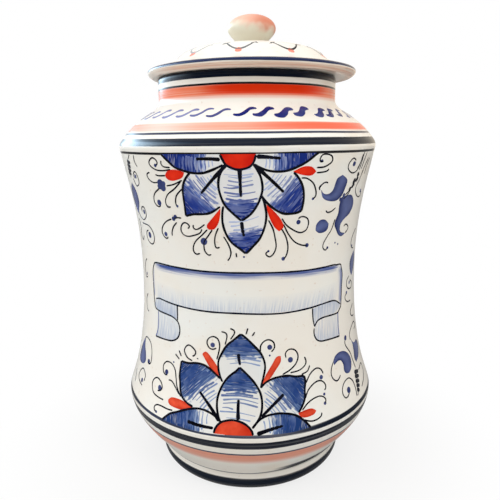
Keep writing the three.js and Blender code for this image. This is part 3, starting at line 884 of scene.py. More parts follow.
bottomFlower = {
    "petals": [
        {"left": [(-15.6, 79), (-16.6, 84), (-18.1, 87.1), (-19.4, 91.5), (-19.4, 96.5), (-17.5, 100.9),
                  (-14.4, 105.9), (-10, 109.6), (-5.3, 113.4)],
         "right": [(5, 76), (6.3, 80.9), (8.1, 87.1), (9.3, 92.8), (8.8, 97.1), (6.9, 101.5), (3.1, 105.9),
                   (-1.3, 110.3), (-5.3, 113.4)],
         "wash": (0.4, 0.84), "hatch": (0.42, 0.84), "level": 0.05, "drawn": {"left": 1, "right": 1}},
        {"left": [(-13, 61), (-20, 63.5), (-34.4, 67.1), (-38.3, 68.2), (-42.2, 70.7), (-44.2, 74),
                  (-45.4, 79.6), (-46.2, 84), (-45.6, 92.3)],
         "right": [(-13, 61), (-16.8, 64.6), (-18.6, 72), (-18.1, 85.9), (-21.9, 89), (-25.6, 91.5),
                   (-30, 93.1), (-40, 92.1), (-45.6, 92.3)],
         "wash": (0.36, 0.86), "hatch": (0.26, 0.8), "level": 0.1, "drawn": {"left": 2}},
        {"left": [(0, 60), (4.4, 63), (6.6, 72), (6.3, 80.9), (9.4, 84), (13.8, 85.9), (23.8, 86.5),
                  (28.8, 85.3), (34.1, 84.9)],
         "right": [(0, 60), (8.1, 62.6), (17.5, 63.6), (28.1, 64.3), (30.6, 67.1), (33.1, 71.5), (34.2, 77),
                   (34.1, 84.9)],
         "wash": (0.4, 0.86), "hatch": (0.3, 0.8), "level": 0.1, "drawn": {}},
        {"left": [(-14, 61), (-16.6, 61.2), (-20, 64), (-25, 66.2), (-30, 66.8), (-35, 65.9), (-40, 64),
                  (-45, 61.5), (-49.4, 59.3), (-54.7, 54.2)],
         "right": [(-14, 54.4), (-26, 54.2), (-40, 54.2), (-54.7, 54.2)],
         "wash": (0.24, 0.7), "hatch": (0.26, 0.72), "level": 0.16, "drawn": {}},
        {"left": [(0, 55), (12, 54.6), (24, 54.4), (34.4, 55)],
         "right": [(0, 57.8), (0.9, 58.4), (4.4, 62.4), (8.1, 64.6), (12.5, 65.6), (17.5, 65.6),
                   (22.5, 64.6), (26.9, 62.8), (30.6, 59.6), (34.4, 55)],
         "wash": (0.22, 0.68), "hatch": (0.24, 0.7), "level": 0.16, "drawn": {}},
        {"left": [(-15.5, 60), (-16.9, 61.2), (-18.4, 64.6), (-19.4, 69.6), (-19.3, 74.6), (-17.8, 79.6),
                  (-15.6, 84), (-12.5, 87.8), (-6.3, 93.4)],
         "right": [(0, 57.6), (0.9, 58.4), (4.4, 62.8), (6.3, 67.1), (6.9, 72.1), (6.3, 77.1), (4.4, 81.5),
                   (1.3, 85.9), (-6.3, 93.4)],
         "wash": (0.4, 0.84), "hatch": (0.14, 0.84), "level": 0.22, "drawn": {}},
    ],
    "outlines": [
        [(-18.1, 85.9), (-21.9, 89), (-25.6, 91.5), (-30, 93.1), (-35, 93.1), (-40, 92.1), (-45.6, 92.3)],
        [(6.3, 80.9), (9.4, 84), (13.8, 85.9), (18.8, 86.7), (23.8, 86.5), (28.8, 85.3), (34.1, 84.9)],
        [(34.1, 84.9), (34.7, 81.5), (33.8, 76.5), (33.1, 71.5), (30.6, 67.1), (28.1, 64.3)],
        [(-16.6, 61.2), (-20, 64), (-25, 66.2), (-30, 66.8), (-35, 65.9), (-40, 64), (-45, 61.5),
         (-49.4, 59.3), (-52.2, 56.8), (-54.7, 54)],
        [(0.9, 58.4), (4.4, 62.4), (8.1, 64.6), (12.5, 65.6), (17.5, 65.6), (22.5, 64.6), (26.9, 62.8),
         (30.6, 59.6), (33.1, 56.5), (34.4, 54.6)],
        [(-16.9, 61.2), (-18.4, 64.6), (-19.4, 69.6), (-19.3, 74.6), (-17.8, 79.6), (-15.6, 84),
         (-12.5, 87.8), (-8.1, 91.2), (-6.3, 93.4)],
        [(0.9, 58.4), (4.4, 62.8), (6.3, 67.1), (6.9, 72.1), (6.3, 77.1), (4.4, 81.5), (1.3, 85.9),
         (-2.5, 89.9), (-6.3, 93.4)],
        [(-20.3, 54.6), (-19.4, 57.8), (-16.9, 60.9), (-13.1, 62.4), (-9.4, 62.8), (-5, 61.8), (-1.3, 59.6),
         (0.9, 56.5), (1.1, 54.6)],
    ],
    "veins": [
        [(-6.9, 62.8), (-7, 69), (-6.8, 74.6)], [(-6.9, 101.5), (-6.6, 98), (-5.9, 94.6)],
        [(-17.5, 61.5), (-23, 68.4), (-30.9, 76.8)], [(20, 76.2), (12, 69.6), (6.3, 64.6)],
        [(-36.9, 58.4), (-29, 57.6), (-20.6, 57.4)], [(3.4, 55.3), (11, 57.4), (18.4, 58.7)],
    ],
    "disc": {"left": [(-20.3, 54.6), (-19.4, 57.8), (-16.9, 60.9), (-13.1, 62.4), (-9.4, 62.8)],
             "right": [(1.1, 54.6), (0.9, 56.5), (-1.3, 59.6), (-5, 61.8), (-9.4, 62.8)]},
    "buds": [
        {"left": [(-18.1, 87.8), (-21.4, 88), (-25.4, 92.4), (-30.3, 99.3)],
         "right": [(-18.1, 87.8), (-19.4, 92.1), (-25.6, 99.6), (-28.4, 101.2), (-30.3, 99.3)]},
        {"left": [(6.9, 82.8), (10, 89), (13.8, 94.6), (16.6, 98.7), (19.3, 99)],
         "right": [(6.9, 82.8), (11.9, 85.9), (16, 91), (19.3, 95.6), (19.3, 99)]},
        {"left": [(-34.7, 66.5), (-40.6, 68.7), (-46.1, 69.2), (-50.6, 68.6), (-52.8, 66.4)],
         "right": [(-34.7, 66.5), (-40.6, 64), (-46.1, 63.5), (-51.4, 64.2), (-52.8, 66.4)]},
        {"left": [(27.8, 64), (31.7, 64.8), (36.7, 64.9), (39.6, 62.9)],
         "right": [(27.8, 64), (29.4, 61.6), (33, 60.7), (37.8, 61.3), (39.6, 62.9)]},
    ],
    "tendrils": [
        [(-20.6, 97.1), (-19.4, 101.5), (-18.8, 105.9), (-20, 109.6), (-23.1, 110.9), (-26.3, 109.3),
         (-27.2, 106.5), (-25.6, 103.7), (-23.1, 103.1), (-20.9, 104.1)],
        [(-17.8, 114.3), (-15, 113.7), (-14.1, 111.5), (-15.3, 106.5)],
        [(-12.2, 116.5), (-9.7, 115.6), (-9.4, 113.7), (-11.9, 109.9)], [(-0.9, 117.1), (-2.2, 113.1)],
        [(3.4, 114.6), (1.6, 112.1)],
        [(6.6, 102.4), (6.9, 106.2), (9.1, 108.7), (11.9, 109.5), (14.7, 108.1), (15.6, 105.9),
         (15.3, 103.9), (13.4, 102)],
        [(20, 87.8), (25, 89.9), (29.4, 93.4), (30.9, 97.8), (28.8, 101.5), (25, 102.3), (22.5, 100.3),
         (22.8, 97.4)],
        [(25, 88.1), (31.3, 88.7), (35.3, 90.9), (36.3, 93.4), (35.3, 96.2)],
        [(32.5, 85.9), (36.9, 87.1), (38.8, 90.3)],
        [(-37.2, 94), (-40.6, 95.1), (-42.8, 97.3), (-43.6, 99.6), (-42.2, 102.3), (-39.7, 103.3),
         (-36.7, 101.8), (-35, 99.8), (-35.8, 97.6), (-37.5, 96.9)],
        [(-34.2, 96.2), (-32.8, 95.8)], [(-48.1, 98.4), (-45.8, 95.1)], [(-51, 95.5), (-47.2, 92.9)],
        [(-43.6, 70.7), (-47.2, 75.7), (-48.9, 81.2), (-50, 85.1), (-52.2, 87.9), (-55.6, 89.1),
         (-58.9, 88.4), (-61.1, 85.7), (-60.8, 82.3), (-58.9, 80.4), (-56.4, 80.7)],
        [(-45, 71.8), (-48.3, 75.1), (-51.1, 77.6), (-53.3, 78.3), (-55, 77.9)],
        [(-56.7, 65.1), (-61.7, 65.2), (-66.7, 65.9), (-69.4, 68.4), (-70.3, 71.8), (-68.3, 74.8),
         (-65.3, 76.1), (-61.7, 74.8), (-59.7, 72.3), (-60.6, 69.8), (-63.6, 68.6)],
        [(-48.1, 61.5), (-52.2, 61.1), (-57.2, 61.2), (-61.1, 60.7), (-63.3, 59), (-62.8, 57.1),
         (-60.8, 56.5)],
        [(35, 80.1), (38.3, 84.6), (41.7, 86.8), (44.4, 87.2), (47.2, 85.7), (48.6, 82.6)],
        [(33.3, 71.2), (36.1, 75.7), (40, 78.4), (43.9, 79.4), (47.2, 78.4), (49.2, 75.7), (48.9, 73.4),
         (47.5, 73)],
        [(30.6, 65.1), (34.4, 68.2), (38.3, 69.8), (42.8, 70.4), (46.1, 69.3), (47.7, 67.1), (46.7, 65.2)],
        [(31.1, 59.6), (35, 58), (38.9, 57.9), (42.2, 59), (43.1, 60.9)],
    ],
    "dots": [(-23.4, 105.7, 1.5), (12.5, 104.9, 1.6), (12.4, 99.9, 0.6), (25.6, 95.9, 1.7),
             (-51.9, 90, 0.6), (-57.5, 82.3, 1.6), (-61.9, 70.9, 1.7), (-60.8, 56.5, 0.8),
             (46.7, 80.9, 1.4), (47.2, 70.5, 0.9), (46.7, 65.2, 1.0)],
}

sideSprays = {
    "leaves": [
        {"left": [(43, 196.6), (45.6, 194.2), (49.4, 193.9), (52.2, 195.9), (53.3, 199.8), (54.4, 202.6),
                  (58.3, 204.2)],
         "right": [(43, 196.6), (45, 192), (49.4, 189.8), (56.1, 189.2), (61.1, 191.7), (63.3, 196.4),
                   (63.9, 200.9), (58.3, 204.2)]},
        {"left": [(65.6, 191.4), (71.1, 191.6), (75, 189.8), (77.5, 186.4), (77.2, 182.6), (73.9, 179.2),
                  (68.3, 177), (65.3, 174.8), (64.7, 172), (66.1, 169.2), (72.2, 167.6)],
         "right": [(65.6, 191.4), (61.7, 190.9), (60.4, 186), (60.6, 180.9), (58.3, 175.3), (60.6, 171.4),
                   (63.9, 167.6), (67.8, 166.2), (72.2, 167.6)]},
        {"left": [(42.6, 172.8), (42.8, 176.4), (45.6, 178.8), (49.4, 178.6), (52.8, 176)],
         "right": [(42.6, 172.8), (45.4, 171), (49.4, 171), (52.4, 172.6), (52.8, 176)]},
        {"left": [(59.4, 84.8), (61.7, 85.7), (64.4, 86.2), (67.2, 85.1), (68.9, 81.8), (68.6, 78.4),
                  (70.6, 75.7), (74.4, 74.8)],
         "right": [(58.6, 87.3), (61.1, 90.1), (65, 91.2), (70, 90.7), (75, 88.4), (78.9, 84.6), (80, 80.1),
                   (77.8, 76.2), (74.4, 74.8)]},
        {"left": [(83.6, 94.8), (86.4, 90.4), (87.2, 85.2), (86.4, 79.6), (88.8, 76.4)],
         "right": [(83.6, 94.8), (89.6, 89.6), (98, 88.8), (102.4, 82.8), (96.4, 78), (88.8, 76.4)]},
        {"left": [(94.8, 152.4), (87.6, 148.8), (85.6, 145.6), (87, 140), (91.2, 136)],
         "right": [(94.8, 152.4), (99, 148), (99.6, 142), (96, 138), (91.2, 136)]},
    ],
    "dashes": [
        [(76, 204.8), (74.8, 202)], [(76.8, 201.6), (74, 199.2)], [(73.2, 201.2), (70.8, 198)],
        [(73.2, 198.4), (70.4, 195.6)], [(69.6, 196.4), (68, 193.6)], [(81.2, 72.2), (88.4, 70.4)],
        [(80.6, 69.6), (87.4, 67.6)], [(80, 66.8), (86, 64.8)], [(79.6, 64.2), (84.6, 62.2)],
        [(78.8, 61.6), (82.6, 60)],
    ],
    "tendrils": [
        [(41.7, 197.6), (43.3, 199.8), (45.6, 200.8), (47.5, 200.2)],
        [(42.2, 196.4), (41.4, 198.2), (43.3, 199.8)],
        [(72, 167.6), (75, 169.2), (75.6, 170.9), (73.3, 172.8), (70.6, 173.2), (69.4, 172)],
        [(63.6, 189.6), (67.6, 192), (70, 195.2)],
        [(64.8, 192), (68, 194), (70.8, 196.8), (74, 200), (77.2, 203.7)],
        [(76, 215.2), (74.8, 209.6), (72.6, 206.2), (69.4, 204.8), (65.6, 205.3), (62.2, 207.6),
         (61.9, 210.3), (63.9, 212.6), (66.1, 213.4), (68.9, 212)],
        [(57.2, 185.1), (54.4, 183.4), (50.6, 182.8), (48.9, 184.2)],
        [(58.3, 178.1), (56.1, 172), (52.8, 168.1), (50, 164.2), (50, 161.4), (52.2, 159.8), (54.4, 161.4)],
        [(82.4, 206), (79.2, 199.6), (76.8, 196.4), (77.2, 193.2), (81.2, 190), (86, 188.8), (89.2, 190),
         (87.6, 192.4)],
        [(72.4, 206.8), (75.2, 211.2), (76.4, 215.6)], [(86, 203), (87.4, 208.6), (90, 213)],
        [(75.5, 206), (76.6, 211), (77.4, 216.8)], [(78, 206.4), (79.6, 211.4), (81.6, 216.4)],
        [(80.6, 203), (83.4, 208.6), (87, 213)],
        [(58.6, 87.1), (56.1, 83.4), (55.4, 79.6), (57.2, 76.2), (60, 74.8), (62.5, 75.8), (63.9, 77.1)],
        [(76.7, 58.4), (77.5, 63.4), (76.7, 67.9), (73.9, 71.2), (70.6, 72.3), (66.1, 71.2), (63.3, 68.4),
         (62.8, 65.1), (64.4, 62.3), (67.2, 62.3), (69.4, 63.7)],
        [(78, 58), (81.2, 62), (83.6, 67.6), (85, 73.4)],
        [(84.8, 74), (82, 82), (80, 86.6), (74.8, 92.8), (74.4, 96.4)],
        [(83.2, 93.6), (83.2, 98), (87.2, 100.8), (94.8, 102.8), (99.6, 98.8), (94.4, 97.6)],
        [(89.2, 70.4), (98.4, 71.6), (100, 66.4), (96, 62.8), (87.2, 60)],
        [(85.2, 137.2), (80.8, 134.8), (81.2, 130.8), (85.2, 128.4), (90.8, 128), (92, 131.2), (87.2, 134)],
        [(80.8, 126.4), (78, 124.8), (79.2, 122), (83.2, 120), (88.8, 119.6)],
        [(94.8, 115.6), (89.6, 113.2), (88, 110.4), (92, 107.6), (96.8, 107.2)],
        [(93.2, 167.6), (86.8, 163.6), (84.8, 159.2), (86.8, 156), (92, 154.4)],
    ],
    "dots": [(67.5, 210.1, 1.5), (53.9, 161, 0.9), (61.1, 163.1, 0.6), (64.4, 161.8, 0.6),
             (86.7, 192.6, 1.2), (69.4, 65.4, 2.0), (75.6, 97.6, 1.8), (86, 132.4, 1.2), (80.6, 126.8, 1.2),
             (60.6, 189.6, 1.2), (63.4, 192, 1.2), (87.4, 156.8, 1.0)],
}

leftSprays = {
    "leaves": [
        {"left": [(-89, 199), (-96, 194), (-97.4, 187), (-94, 182), (-90.6, 179)],
         "right": [(-89, 199), (-84.4, 195.2), (-82.8, 191.2), (-83.8, 186), (-90.6, 179)]},
        {"left": [(-90.4, 94.8), (-95.2, 90.4), (-100, 83.2), (-100.4, 77.2), (-95.6, 75.6), (-90, 76.4)],
         "right": [(-90.4, 94.8), (-90, 89.2), (-86.8, 85.2), (-84.8, 80.8), (-86.8, 78), (-90, 76.4)]},
    ],
    "dashes": [
        [(-86.4, 212.4), (-81, 211.6)], [(-87.6, 210), (-82, 209.2)], [(-88.8, 207.6), (-83.2, 206.8)],
        [(-89.6, 205.4), (-84.4, 204.6)],
    ],
    "tendrils": [
        [(-83.2, 202), (-80, 197.6), (-75.2, 199.6), (-75.2, 204), (-77.2, 206.4), (-80.8, 204.8),
         (-80.8, 202)],
        [(-89.2, 180.8), (-86, 177.6), (-80.8, 176.4), (-76, 178.8), (-75.2, 182), (-77.2, 184.8),
         (-81.2, 183.6), (-80.8, 181.2)],
        [(-79.2, 216.4), (-84.4, 212.4), (-86, 207.6), (-87.6, 202)],
        [(-92.4, 176), (-90.8, 170.4), (-92.8, 164.8), (-89.6, 162), (-86, 165.2)],
        [(-85, 173.9), (-79.4, 173.7), (-73.9, 173.1), (-70, 169.8), (-69.2, 165.9), (-71.1, 162.6),
         (-74.4, 161.7), (-78.3, 163.1), (-80, 166.4), (-78.9, 169.2), (-76.1, 170.1)],
        [(-73.2, 216.4), (-74, 212.8), (-72, 209.2)],
        [(-91.6, 94), (-87.2, 96), (-80.4, 94.8), (-77.2, 90.8), (-76, 84), (-77.6, 80.8), (-80.8, 80.8),
         (-80.8, 83.2)],
        [(-82.8, 64.4), (-87.6, 64.8), (-92, 66.4), (-92, 70), (-86.8, 74.4), (-81.2, 72), (-81.6, 67.6)],
        [(-102.4, 68), (-99.6, 64.8), (-97.2, 60.4)],
        [(-86, 150), (-90, 147), (-93, 141), (-90.6, 136.6), (-87, 138)],
        [(-88, 126), (-92, 121), (-90, 115), (-86, 114)],
    ],
    "dots": [(-78.4, 203.4, 1.4), (-77.8, 181.6, 1.4), (-75, 167.3, 2.0), (-79.4, 81.8, 1.6),
             (-84.8, 67, 1.5), (-88.6, 139.4, 1.1)],
}

banner = {
    "outlines": [
        [(-76.6, 136.4), (-76.6, 140), (-76, 144.3), (-74, 148), (-70, 150.3), (-50, 150.6), (-30, 150.3),
         (0, 150.3), (20, 149.8), (40, 149.3), (60, 149.1), (65, 148.5), (69.7, 148), (71.4, 145.2),
         (72.8, 141.9), (73, 138.6), (72.5, 133), (72.2, 127.4), (71.7, 121.9), (70.6, 119.1)],
        [(-73.3, 126.1), (-70, 127), (-66.7, 127.3), (-50, 126.5), (-30, 125.9), (-10, 125.9), (0, 125.6),
         (20, 124.9), (40, 125.5), (50, 126.1), (60, 126.2), (65, 125.2), (68.3, 123.3), (70.8, 121.9)],
        [(-76.6, 136.4), (-76, 127.3), (-74.8, 121.6)],
        [(-75.6, 122.3), (-74.2, 120.1), (-70.6, 119.1), (-60, 118.8), (-55, 118.4), (-51.7, 117.3),
         (-49.4, 115.7), (-48.1, 112.9), (-47.9, 110.1), (-48.9, 106.8), (-51.1, 104.6), (-55, 102.9),
         (-60, 102.2), (-70, 101.5), (-72.8, 101.2)],
        [(-50, 126.5), (-49.9, 121), (-50, 116.8)], [(42.8, 125), (43.1, 118.4), (44.2, 113.4)],
        [(44.2, 112.9), (45.3, 114.8), (47.2, 116.5), (50.6, 117.3), (55, 117.4), (66.1, 116.9),
         (68.9, 118.2), (71.4, 120.4)],
        [(43.9, 112.3), (43.6, 109.6), (44.2, 106.8), (46.1, 104.3), (49.4, 102.9), (55, 102.4),
         (61.1, 101.9), (68.3, 101.3)],
    ],
    "soft": [
        [(-70.4, 118.7), (-70.3, 107.3), (-72.8, 101.2)], [(67.5, 116.8), (67.2, 107.3), (67.8, 101.8)],
    ],
    # Each wash runs across from low to high, as thick as its two shares say, and fades at its ends
    "shade": [
        {"left": [(-73, 145.2), (-40, 145.6), (0, 145.6), (40, 144.8), (69, 143.6)],
         "right": [(-73, 149.6), (-40, 150.3), (0, 150.2), (40, 149.2), (70, 147.9)],
         "edge": (-0.15, 0.95), "ends": 0.06},
        {"left": [(65, 146), (67, 140), (67.6, 130), (66.6, 124)],
         "right": [(70, 147.6), (72.6, 141), (72.2, 130), (71, 121)],
         "edge": (-0.1, 0.62), "ends": 0.12},
        {"left": [(-72.6, 147), (-73.4, 142), (-73.2, 134), (-72.6, 127.6)],
         "right": [(-75.8, 145.4), (-76.6, 141), (-76.4, 134), (-75.6, 127)],
         "edge": (-0.1, 0.4), "ends": 0.12},
    ],
    "folds": [
        {"left": [(-73, 127), (-40, 126.4), (0, 125.8), (40, 125.6), (66, 125.4)],
         "right": [(-75, 138), (-40, 136.6), (0, 136), (40, 136.6), (70, 138)],
         "edge": (0.26, 0.02), "ends": 0.03},
        {"left": [(-71.6, 101.8), (-62, 102.6), (-55, 103.4), (-50.6, 105.4), (-48.6, 108)],
         "right": [(-70.6, 118.6), (-62, 118.4), (-55, 117.9), (-51, 116.6), (-48.4, 112)],
         "edge": (0.36, 0.16), "ends": 0.0},
        {"left": [(44.4, 108), (46, 105), (50, 103.2), (58, 102.6), (67, 101.8)],
         "right": [(44.8, 113.2), (47, 116), (51, 117), (58, 117), (67, 116.6)],
         "edge": (0.34, 0.14), "ends": 0.0},
        {"left": [(-75, 121.8), (-72, 119.8), (-66, 119.2), (-58, 119), (-50.6, 117.6)],
         "right": [(-73.6, 125.6), (-70, 126.8), (-66, 126.9), (-58, 126.7), (-50.6, 126.2)],
         "edge": (0.46, 0.3), "ends": 0.0},
        {"left": [(44, 114), (50, 117.6), (56, 118), (64, 117.8), (70.4, 120.6)],
         "right": [(43.2, 124.6), (50, 125.6), (56, 125.8), (64, 125.2), (70.6, 121.8)],
         "edge": (0.3, 0.42), "ends": 0.0},
    ],
}

neckStrokes = {
    "starts": [-49.4, -38.3, -26.3, -8.9, 3.3, 16.9, 30.2, 45.9, 56.4], "pitch": 13.2,
    "low": 237.6, "rise": 3.7, "run": 15.5, "sway": 0.3,
    "shape": [(0, 0.12), (0.1, 0), (0.3, 0.02), (0.5, 0.4), (0.68, 0.9), (0.85, 1), (1, 0.93)],
    "swell": (0.5, 0.8, 1.1, 1.15, 0.95, 0.8, 0.5),
    "thin": 0.78, "thick": 1.42, "ink": (0.1, 2.0),
    "fullest": 34, "narrow": 2.8,      # where the strokes are fullest and darkest, and how soon they thin out
}
festoons = {
    "count": 10, "first": -9, "low": 48.6, "high": 43, "half": 10.7, "radius": 0.52, "arc": 48,
    "hook": [(-2.0, 1.4), (2.2, -1.4)], "tail": [(0.4, -0.6), (2.6, 1.6)],      # crossed where two swags meet
    "dotAt": 49.7, "dot": 1.9,
    # The swags are darkest at one angle and pale away from it: the pale swags are painted highlight, where
    # light washes out the left of the lid.
    "darkest": 22, "narrow": 1.4, "ink": (0.15, 1.15),
}

# Films are drawn flat, with their tops at these levels and their undersides sunk. Laid on the pot, paint
# keeps the relief's share of its height, and it is lifted off the glaze.
levels = {"disc": 0.34, "bud": 0.3, "dot": 0.3, "leaf": 0.1, "banner": 0.06}
lifts = {"petal_hatching": 0.05, "banner_folds": 0.02, "dark_outlines": 0.06}      # over or under the rest
paint = {
    "round": 80, "sunk": -0.4, "relief": 0.16, "lift": 0.03, "weld": 0.02, "sharpest": 75,
    "cell": 1.6, "curveStep": 0.9, "strokeStep": 0.5, "bristle": 6,
    "press": (0.72, 0.56), "pressScale": 150.0, "tip": 0.12,      # how a stroke swells, and how blunt it ends
}
penWidth = {
    "outline": (0.68, 0.68), "vein": (1.15, 0.8), "tendril": (0.45, 0.45),
    "banner": (0.54, 0.54), "dash": (1.5, 1.1),
}
penLoad = {"flower": 0.9, "spray": 0.7, "dash": 0.8, "banner": 0.7, "soft": 0.3, "dot": 0.85}
hatching = {
    "pitch": 1.8, "thin": 0.42, "broad": 0.9, "inset": 0.05, "ragged": 0.2, "bow": 0.06, "seed": 11,
    "split": 0.12,      # how often the brush lifts before it gets across
    # What varies from stroke to stroke: the least, and how much chance may add
    "lifted": (0.35, 0.4), "bowing": (0.6, 0.8), "press": (0.6, 0.6), "spacing": (0.7, 0.6),
}


def smooth(points, spacing):
    # Catmull-Rom curve through the points, stepped evenly
    padded = [points[0], *points, points[-1]]
    fine = []
    for a, b, c, d in zip(padded, padded[1:], padded[2:], padded[3:]):
        a, b, c, d = Vector(a), Vector(b), Vector(c), Vector(d)
        for step in range(8):
            t = step / 8
            square = (2 * a - 5 * b + 4 * c - d) * t * t
            cube = (3 * b - a - 3 * c + d) * t ** 3
            fine.append(0.5 * (2 * b + (c - a) * t + square + cube))
    fine.append(Vector(points[-1]))
    lengths = [0.0]
    for first, second in zip(fine, fine[1:]):
        lengths.append(lengths[-1] + (second - first).length)
    count = spacing if isinstance(spacing, int) else max(2, round(lengths[-1] / spacing))
    result = []
    place = 0
    for step in range(count + 1):
        goal = lengths[-1] * step / count
        while place < len(fine) - 2 and lengths[place + 1] < goal:
            place += 1
        span = lengths[place + 1] - lengths[place]
        result.append(fine[place].lerp(fine[place + 1], (goal - lengths[place]) / span if span else 0.0))
    return result, lengths[-1]


class Picture:
    # One colour's flat patches and strokes, before they are laid on the pot
    def __init__(self):
        self.points, self.faces, self.brush, self.wash, self.strokes = [], [], [], [], []

    def patch(self, shape, thickness, level, aside=0.0):
        left, right = shape["left"], shape["right"]
        length = max(smooth(left, 8)[1], smooth(right, 8)[1])
        steps = max(6, round(length / paint["cell"]))
        leftSide, rightSide = smooth(left, steps)[0], smooth(right, steps)[0]
        width = max((a - b).length for a, b in zip(leftSide, rightSide))
        lanes = max(3, round(width / paint["cell"]))
        base = len(self.points)
        for height in (level, paint["sunk"]):
            for row in range(steps + 1):
                for lane in range(lanes + 1):
                    spot = leftSide[row].lerp(rightSide[row], lane / lanes)
                    self.points.append(((spot.x + aside) * mm, spot.y * mm, height * mm))
                    self.brush.append((lane / lanes * width, row / steps * length))
                    self.wash.append(thickness(row / steps, lane / lanes))
        across = lanes + 1
        under = across * (steps + 1)
        for row in range(steps):
            for lane in range(lanes):
                corner = base + row * across + lane
                quad = [corner, corner + 1, corner + 1 + across, corner + across]
                self.faces.append(quad)
                self.faces.append([index + under for index in reversed(quad)])
        rim = [base + lane for lane in range(lanes)]
        rim += [base + row * across + lanes for row in range(steps)]
        rim += [base + steps * across + lane for lane in range(lanes, 0, -1)]
        rim += [base + row * across for row in range(steps, 0, -1)]
        for first, second in zip(rim, rim[1:] + rim[:1]):
            self.faces.append([second, first, first + under, second + under])

    def stroke(self, points, widths, aside=0.0, load=1.0):
        # Widths is the brush's radius from the first point to the last, in even steps
        self.strokes.append(([(u + aside, z) for u, z in points], widths, load))

    def dot(self, u, z, radius, aside=0.0):
        turns = [math.radians(90 + 22.5 * step) for step in range(9)]
        left = [(u + radius * math.cos(angle), z + radius * math.sin(angle)) for angle in turns]
        right = [(2 * u - across, up) for across, up in left]
        self.patch({"left": left, "right": right}, lambda row, lane: penLoad["dot"], levels["dot"], aside)

    def flatMesh(self, name):
        mesh = bpy.data.meshes.new(name)
        mesh.from_pydata(self.points, [], self.faces)
        uv = mesh.uv_layers.new(name="brush")
        for loop in mesh.loops:
            uv.data[loop.index].uv = self.brush[loop.vertex_index]
        wash = mesh.attributes.new("wash", "FLOAT", "POINT")
        wash.data.foreach_set("value", self.wash)
        return newObject(name, mesh)

    def flatCurve(self, name):
        curve = bpy.data.curves.new(name, "CURVE")
        curve.dimensions = "3D"
        for points, widths, load in self.strokes:
            fine = smooth(points, paint["curveStep"])[0]
            spline = curve.splines.new("POLY")
            spline.points.add(len(fine) - 1)
            for index, spot in enumerate(fine):
                spline.points[index].co = (spot.x * mm, spot.y * mm, 0, 1)
                reached = index / (len(fine) - 1) * (len(widths) - 1)
                before = min(int(reached), len(widths) - 2)
                radius = widths[before] + (widths[before + 1] - widths[before]) * (reached - before)
                spline.points[index].radius = radius * mm
                spline.points[index].tilt = load
        return newObject(name, curve)


def makePaintTree():
    # Strokes become tapered beads of paint, and patches thin films. Both are moved from the flat to the pot.
    tree, inputs = newTree("layPaint", {
        "Strokes": ("Object", None), "Pot": ("Object", None), "On top": ("Bool", False),
        "Middle": ("Float", 0.0), "Round": ("Float", 0.08), "Lift": ("Float", 0.0),
        "Relief": ("Float", 0.1), "Step": ("Float", 0.001), "Bristles": ("Int", 6),
        "Material": ("Material", None),
    })
    lines = addNode(tree, "GeometryNodeObjectInfo", {"Object": inputs["Strokes"]}).outputs["Geometry"]
    stepped = {0: lines, "Length": inputs["Step"]}
    even = addNode(tree, "GeometryNodeResampleCurve", stepped, mode="LENGTH").outputs[0]
    radius = addNode(tree, "GeometryNodeInputRadius").outputs[0]
    along = addNode(tree, "GeometryNodeSplineParameter").outputs["Length"]
    whole = addNode(tree, "GeometryNodeSplineLength").outputs[0]
    fromEnd = maths(tree, "MINIMUM", along, minus(tree, whole, along))
    gone = remainder(tree, maths(tree, "DIVIDE", fromEnd, radius, clamp=True))
    ending = maths(tree, "SQRT", remainder(tree, times(tree, gone, gone)))
    place = addNode(tree, "GeometryNodeInputPosition").outputs[0]
    least, more = paint["press"]
    pressure = plus(tree, least, times(tree, noise(tree, place, paint["pressScale"], 1.0), more))
    width = times(tree, radius, pressure, maths(tree, "MAXIMUM", ending, paint["tip"]))
    # The curves carry the paint's load as tilt
    loaded = storeNumber(tree, even, "wash", addNode(tree, "GeometryNodeInputCurveTilt").outputs[0])
    upright = addNode(tree, "GeometryNodeSetCurveNormal", {0: loaded}, mode="Z_UP").outputs[0]
    tuft = {"Resolution": inputs["Bristles"], "Radius": 1.0}
    bristles = addNode(tree, "GeometryNodeCurvePrimitiveCircle", tuft).outputs[0]
    beads = addNode(tree, "GeometryNodeCurveToMesh", {
        0: upright, "Profile Curve": bristles, "Scale": width, "Fill Caps": True,
    }).outputs[0]
    welded = {0: inputs["Geometry"], "Distance": paint["weld"] * mm}
    films = addNode(tree, "GeometryNodeMergeByDistance", welded).outputs[0]
    flat = addNode(tree, "GeometryNodeJoinGeometry")
    tree.links.new(beads, flat.inputs[0])
    tree.links.new(films, flat.inputs[0])

    # A ray finds each point's place on the pot, from beside it or from over it
    spot = splitVector(tree, place)
    angle = maths(tree, "DIVIDE", spot[0], inputs["Round"])
    side = maths(tree, "SINE", angle)
    front = times(tree, maths(tree, "COSINE", angle), -1.0)
    away, over = 0.2, 0.5
    beside = joinVector(tree, times(tree, side, away), times(tree, front, away), spot[1])
    above = joinVector(tree, plus(tree, times(tree, side, spot[1]), inputs["Middle"]),
                       times(tree, front, spot[1]), over)
    inward = joinVector(tree, times(tree, side, -1.0), times(tree, front, -1.0), 0.0)
    ray = addNode(tree, "GeometryNodeRaycast", {
        0: addNode(tree, "GeometryNodeObjectInfo", {"Object": inputs["Pot"]}).outputs["Geometry"],
        "Source Position": blendVector(tree, inputs["On top"], beside, above),
        "Ray Direction": blendVector(tree, inputs["On top"], inward, (0.0, 0.0, -1.0)), "Ray Length": 1.0,
    }).outputs
    height = plus(tree, times(tree, spot[2], inputs["Relief"]), inputs["Lift"])
    normal = {0: ray["Hit Normal"], "Scale": height}
    offset = addNode(tree, "ShaderNodeVectorMath", normal, operation="SCALE").outputs[0]
    spots = {0: ray["Hit Position"], 1: offset}
    raised = addNode(tree, "ShaderNodeVectorMath", spots, operation="ADD").outputs[0]
    laid = addNode(tree, "GeometryNodeSetPosition", {0: flat.outputs[0], "Position": raised}).outputs[0]
    endTree(tree, laid, inputs["Material"])
    return tree


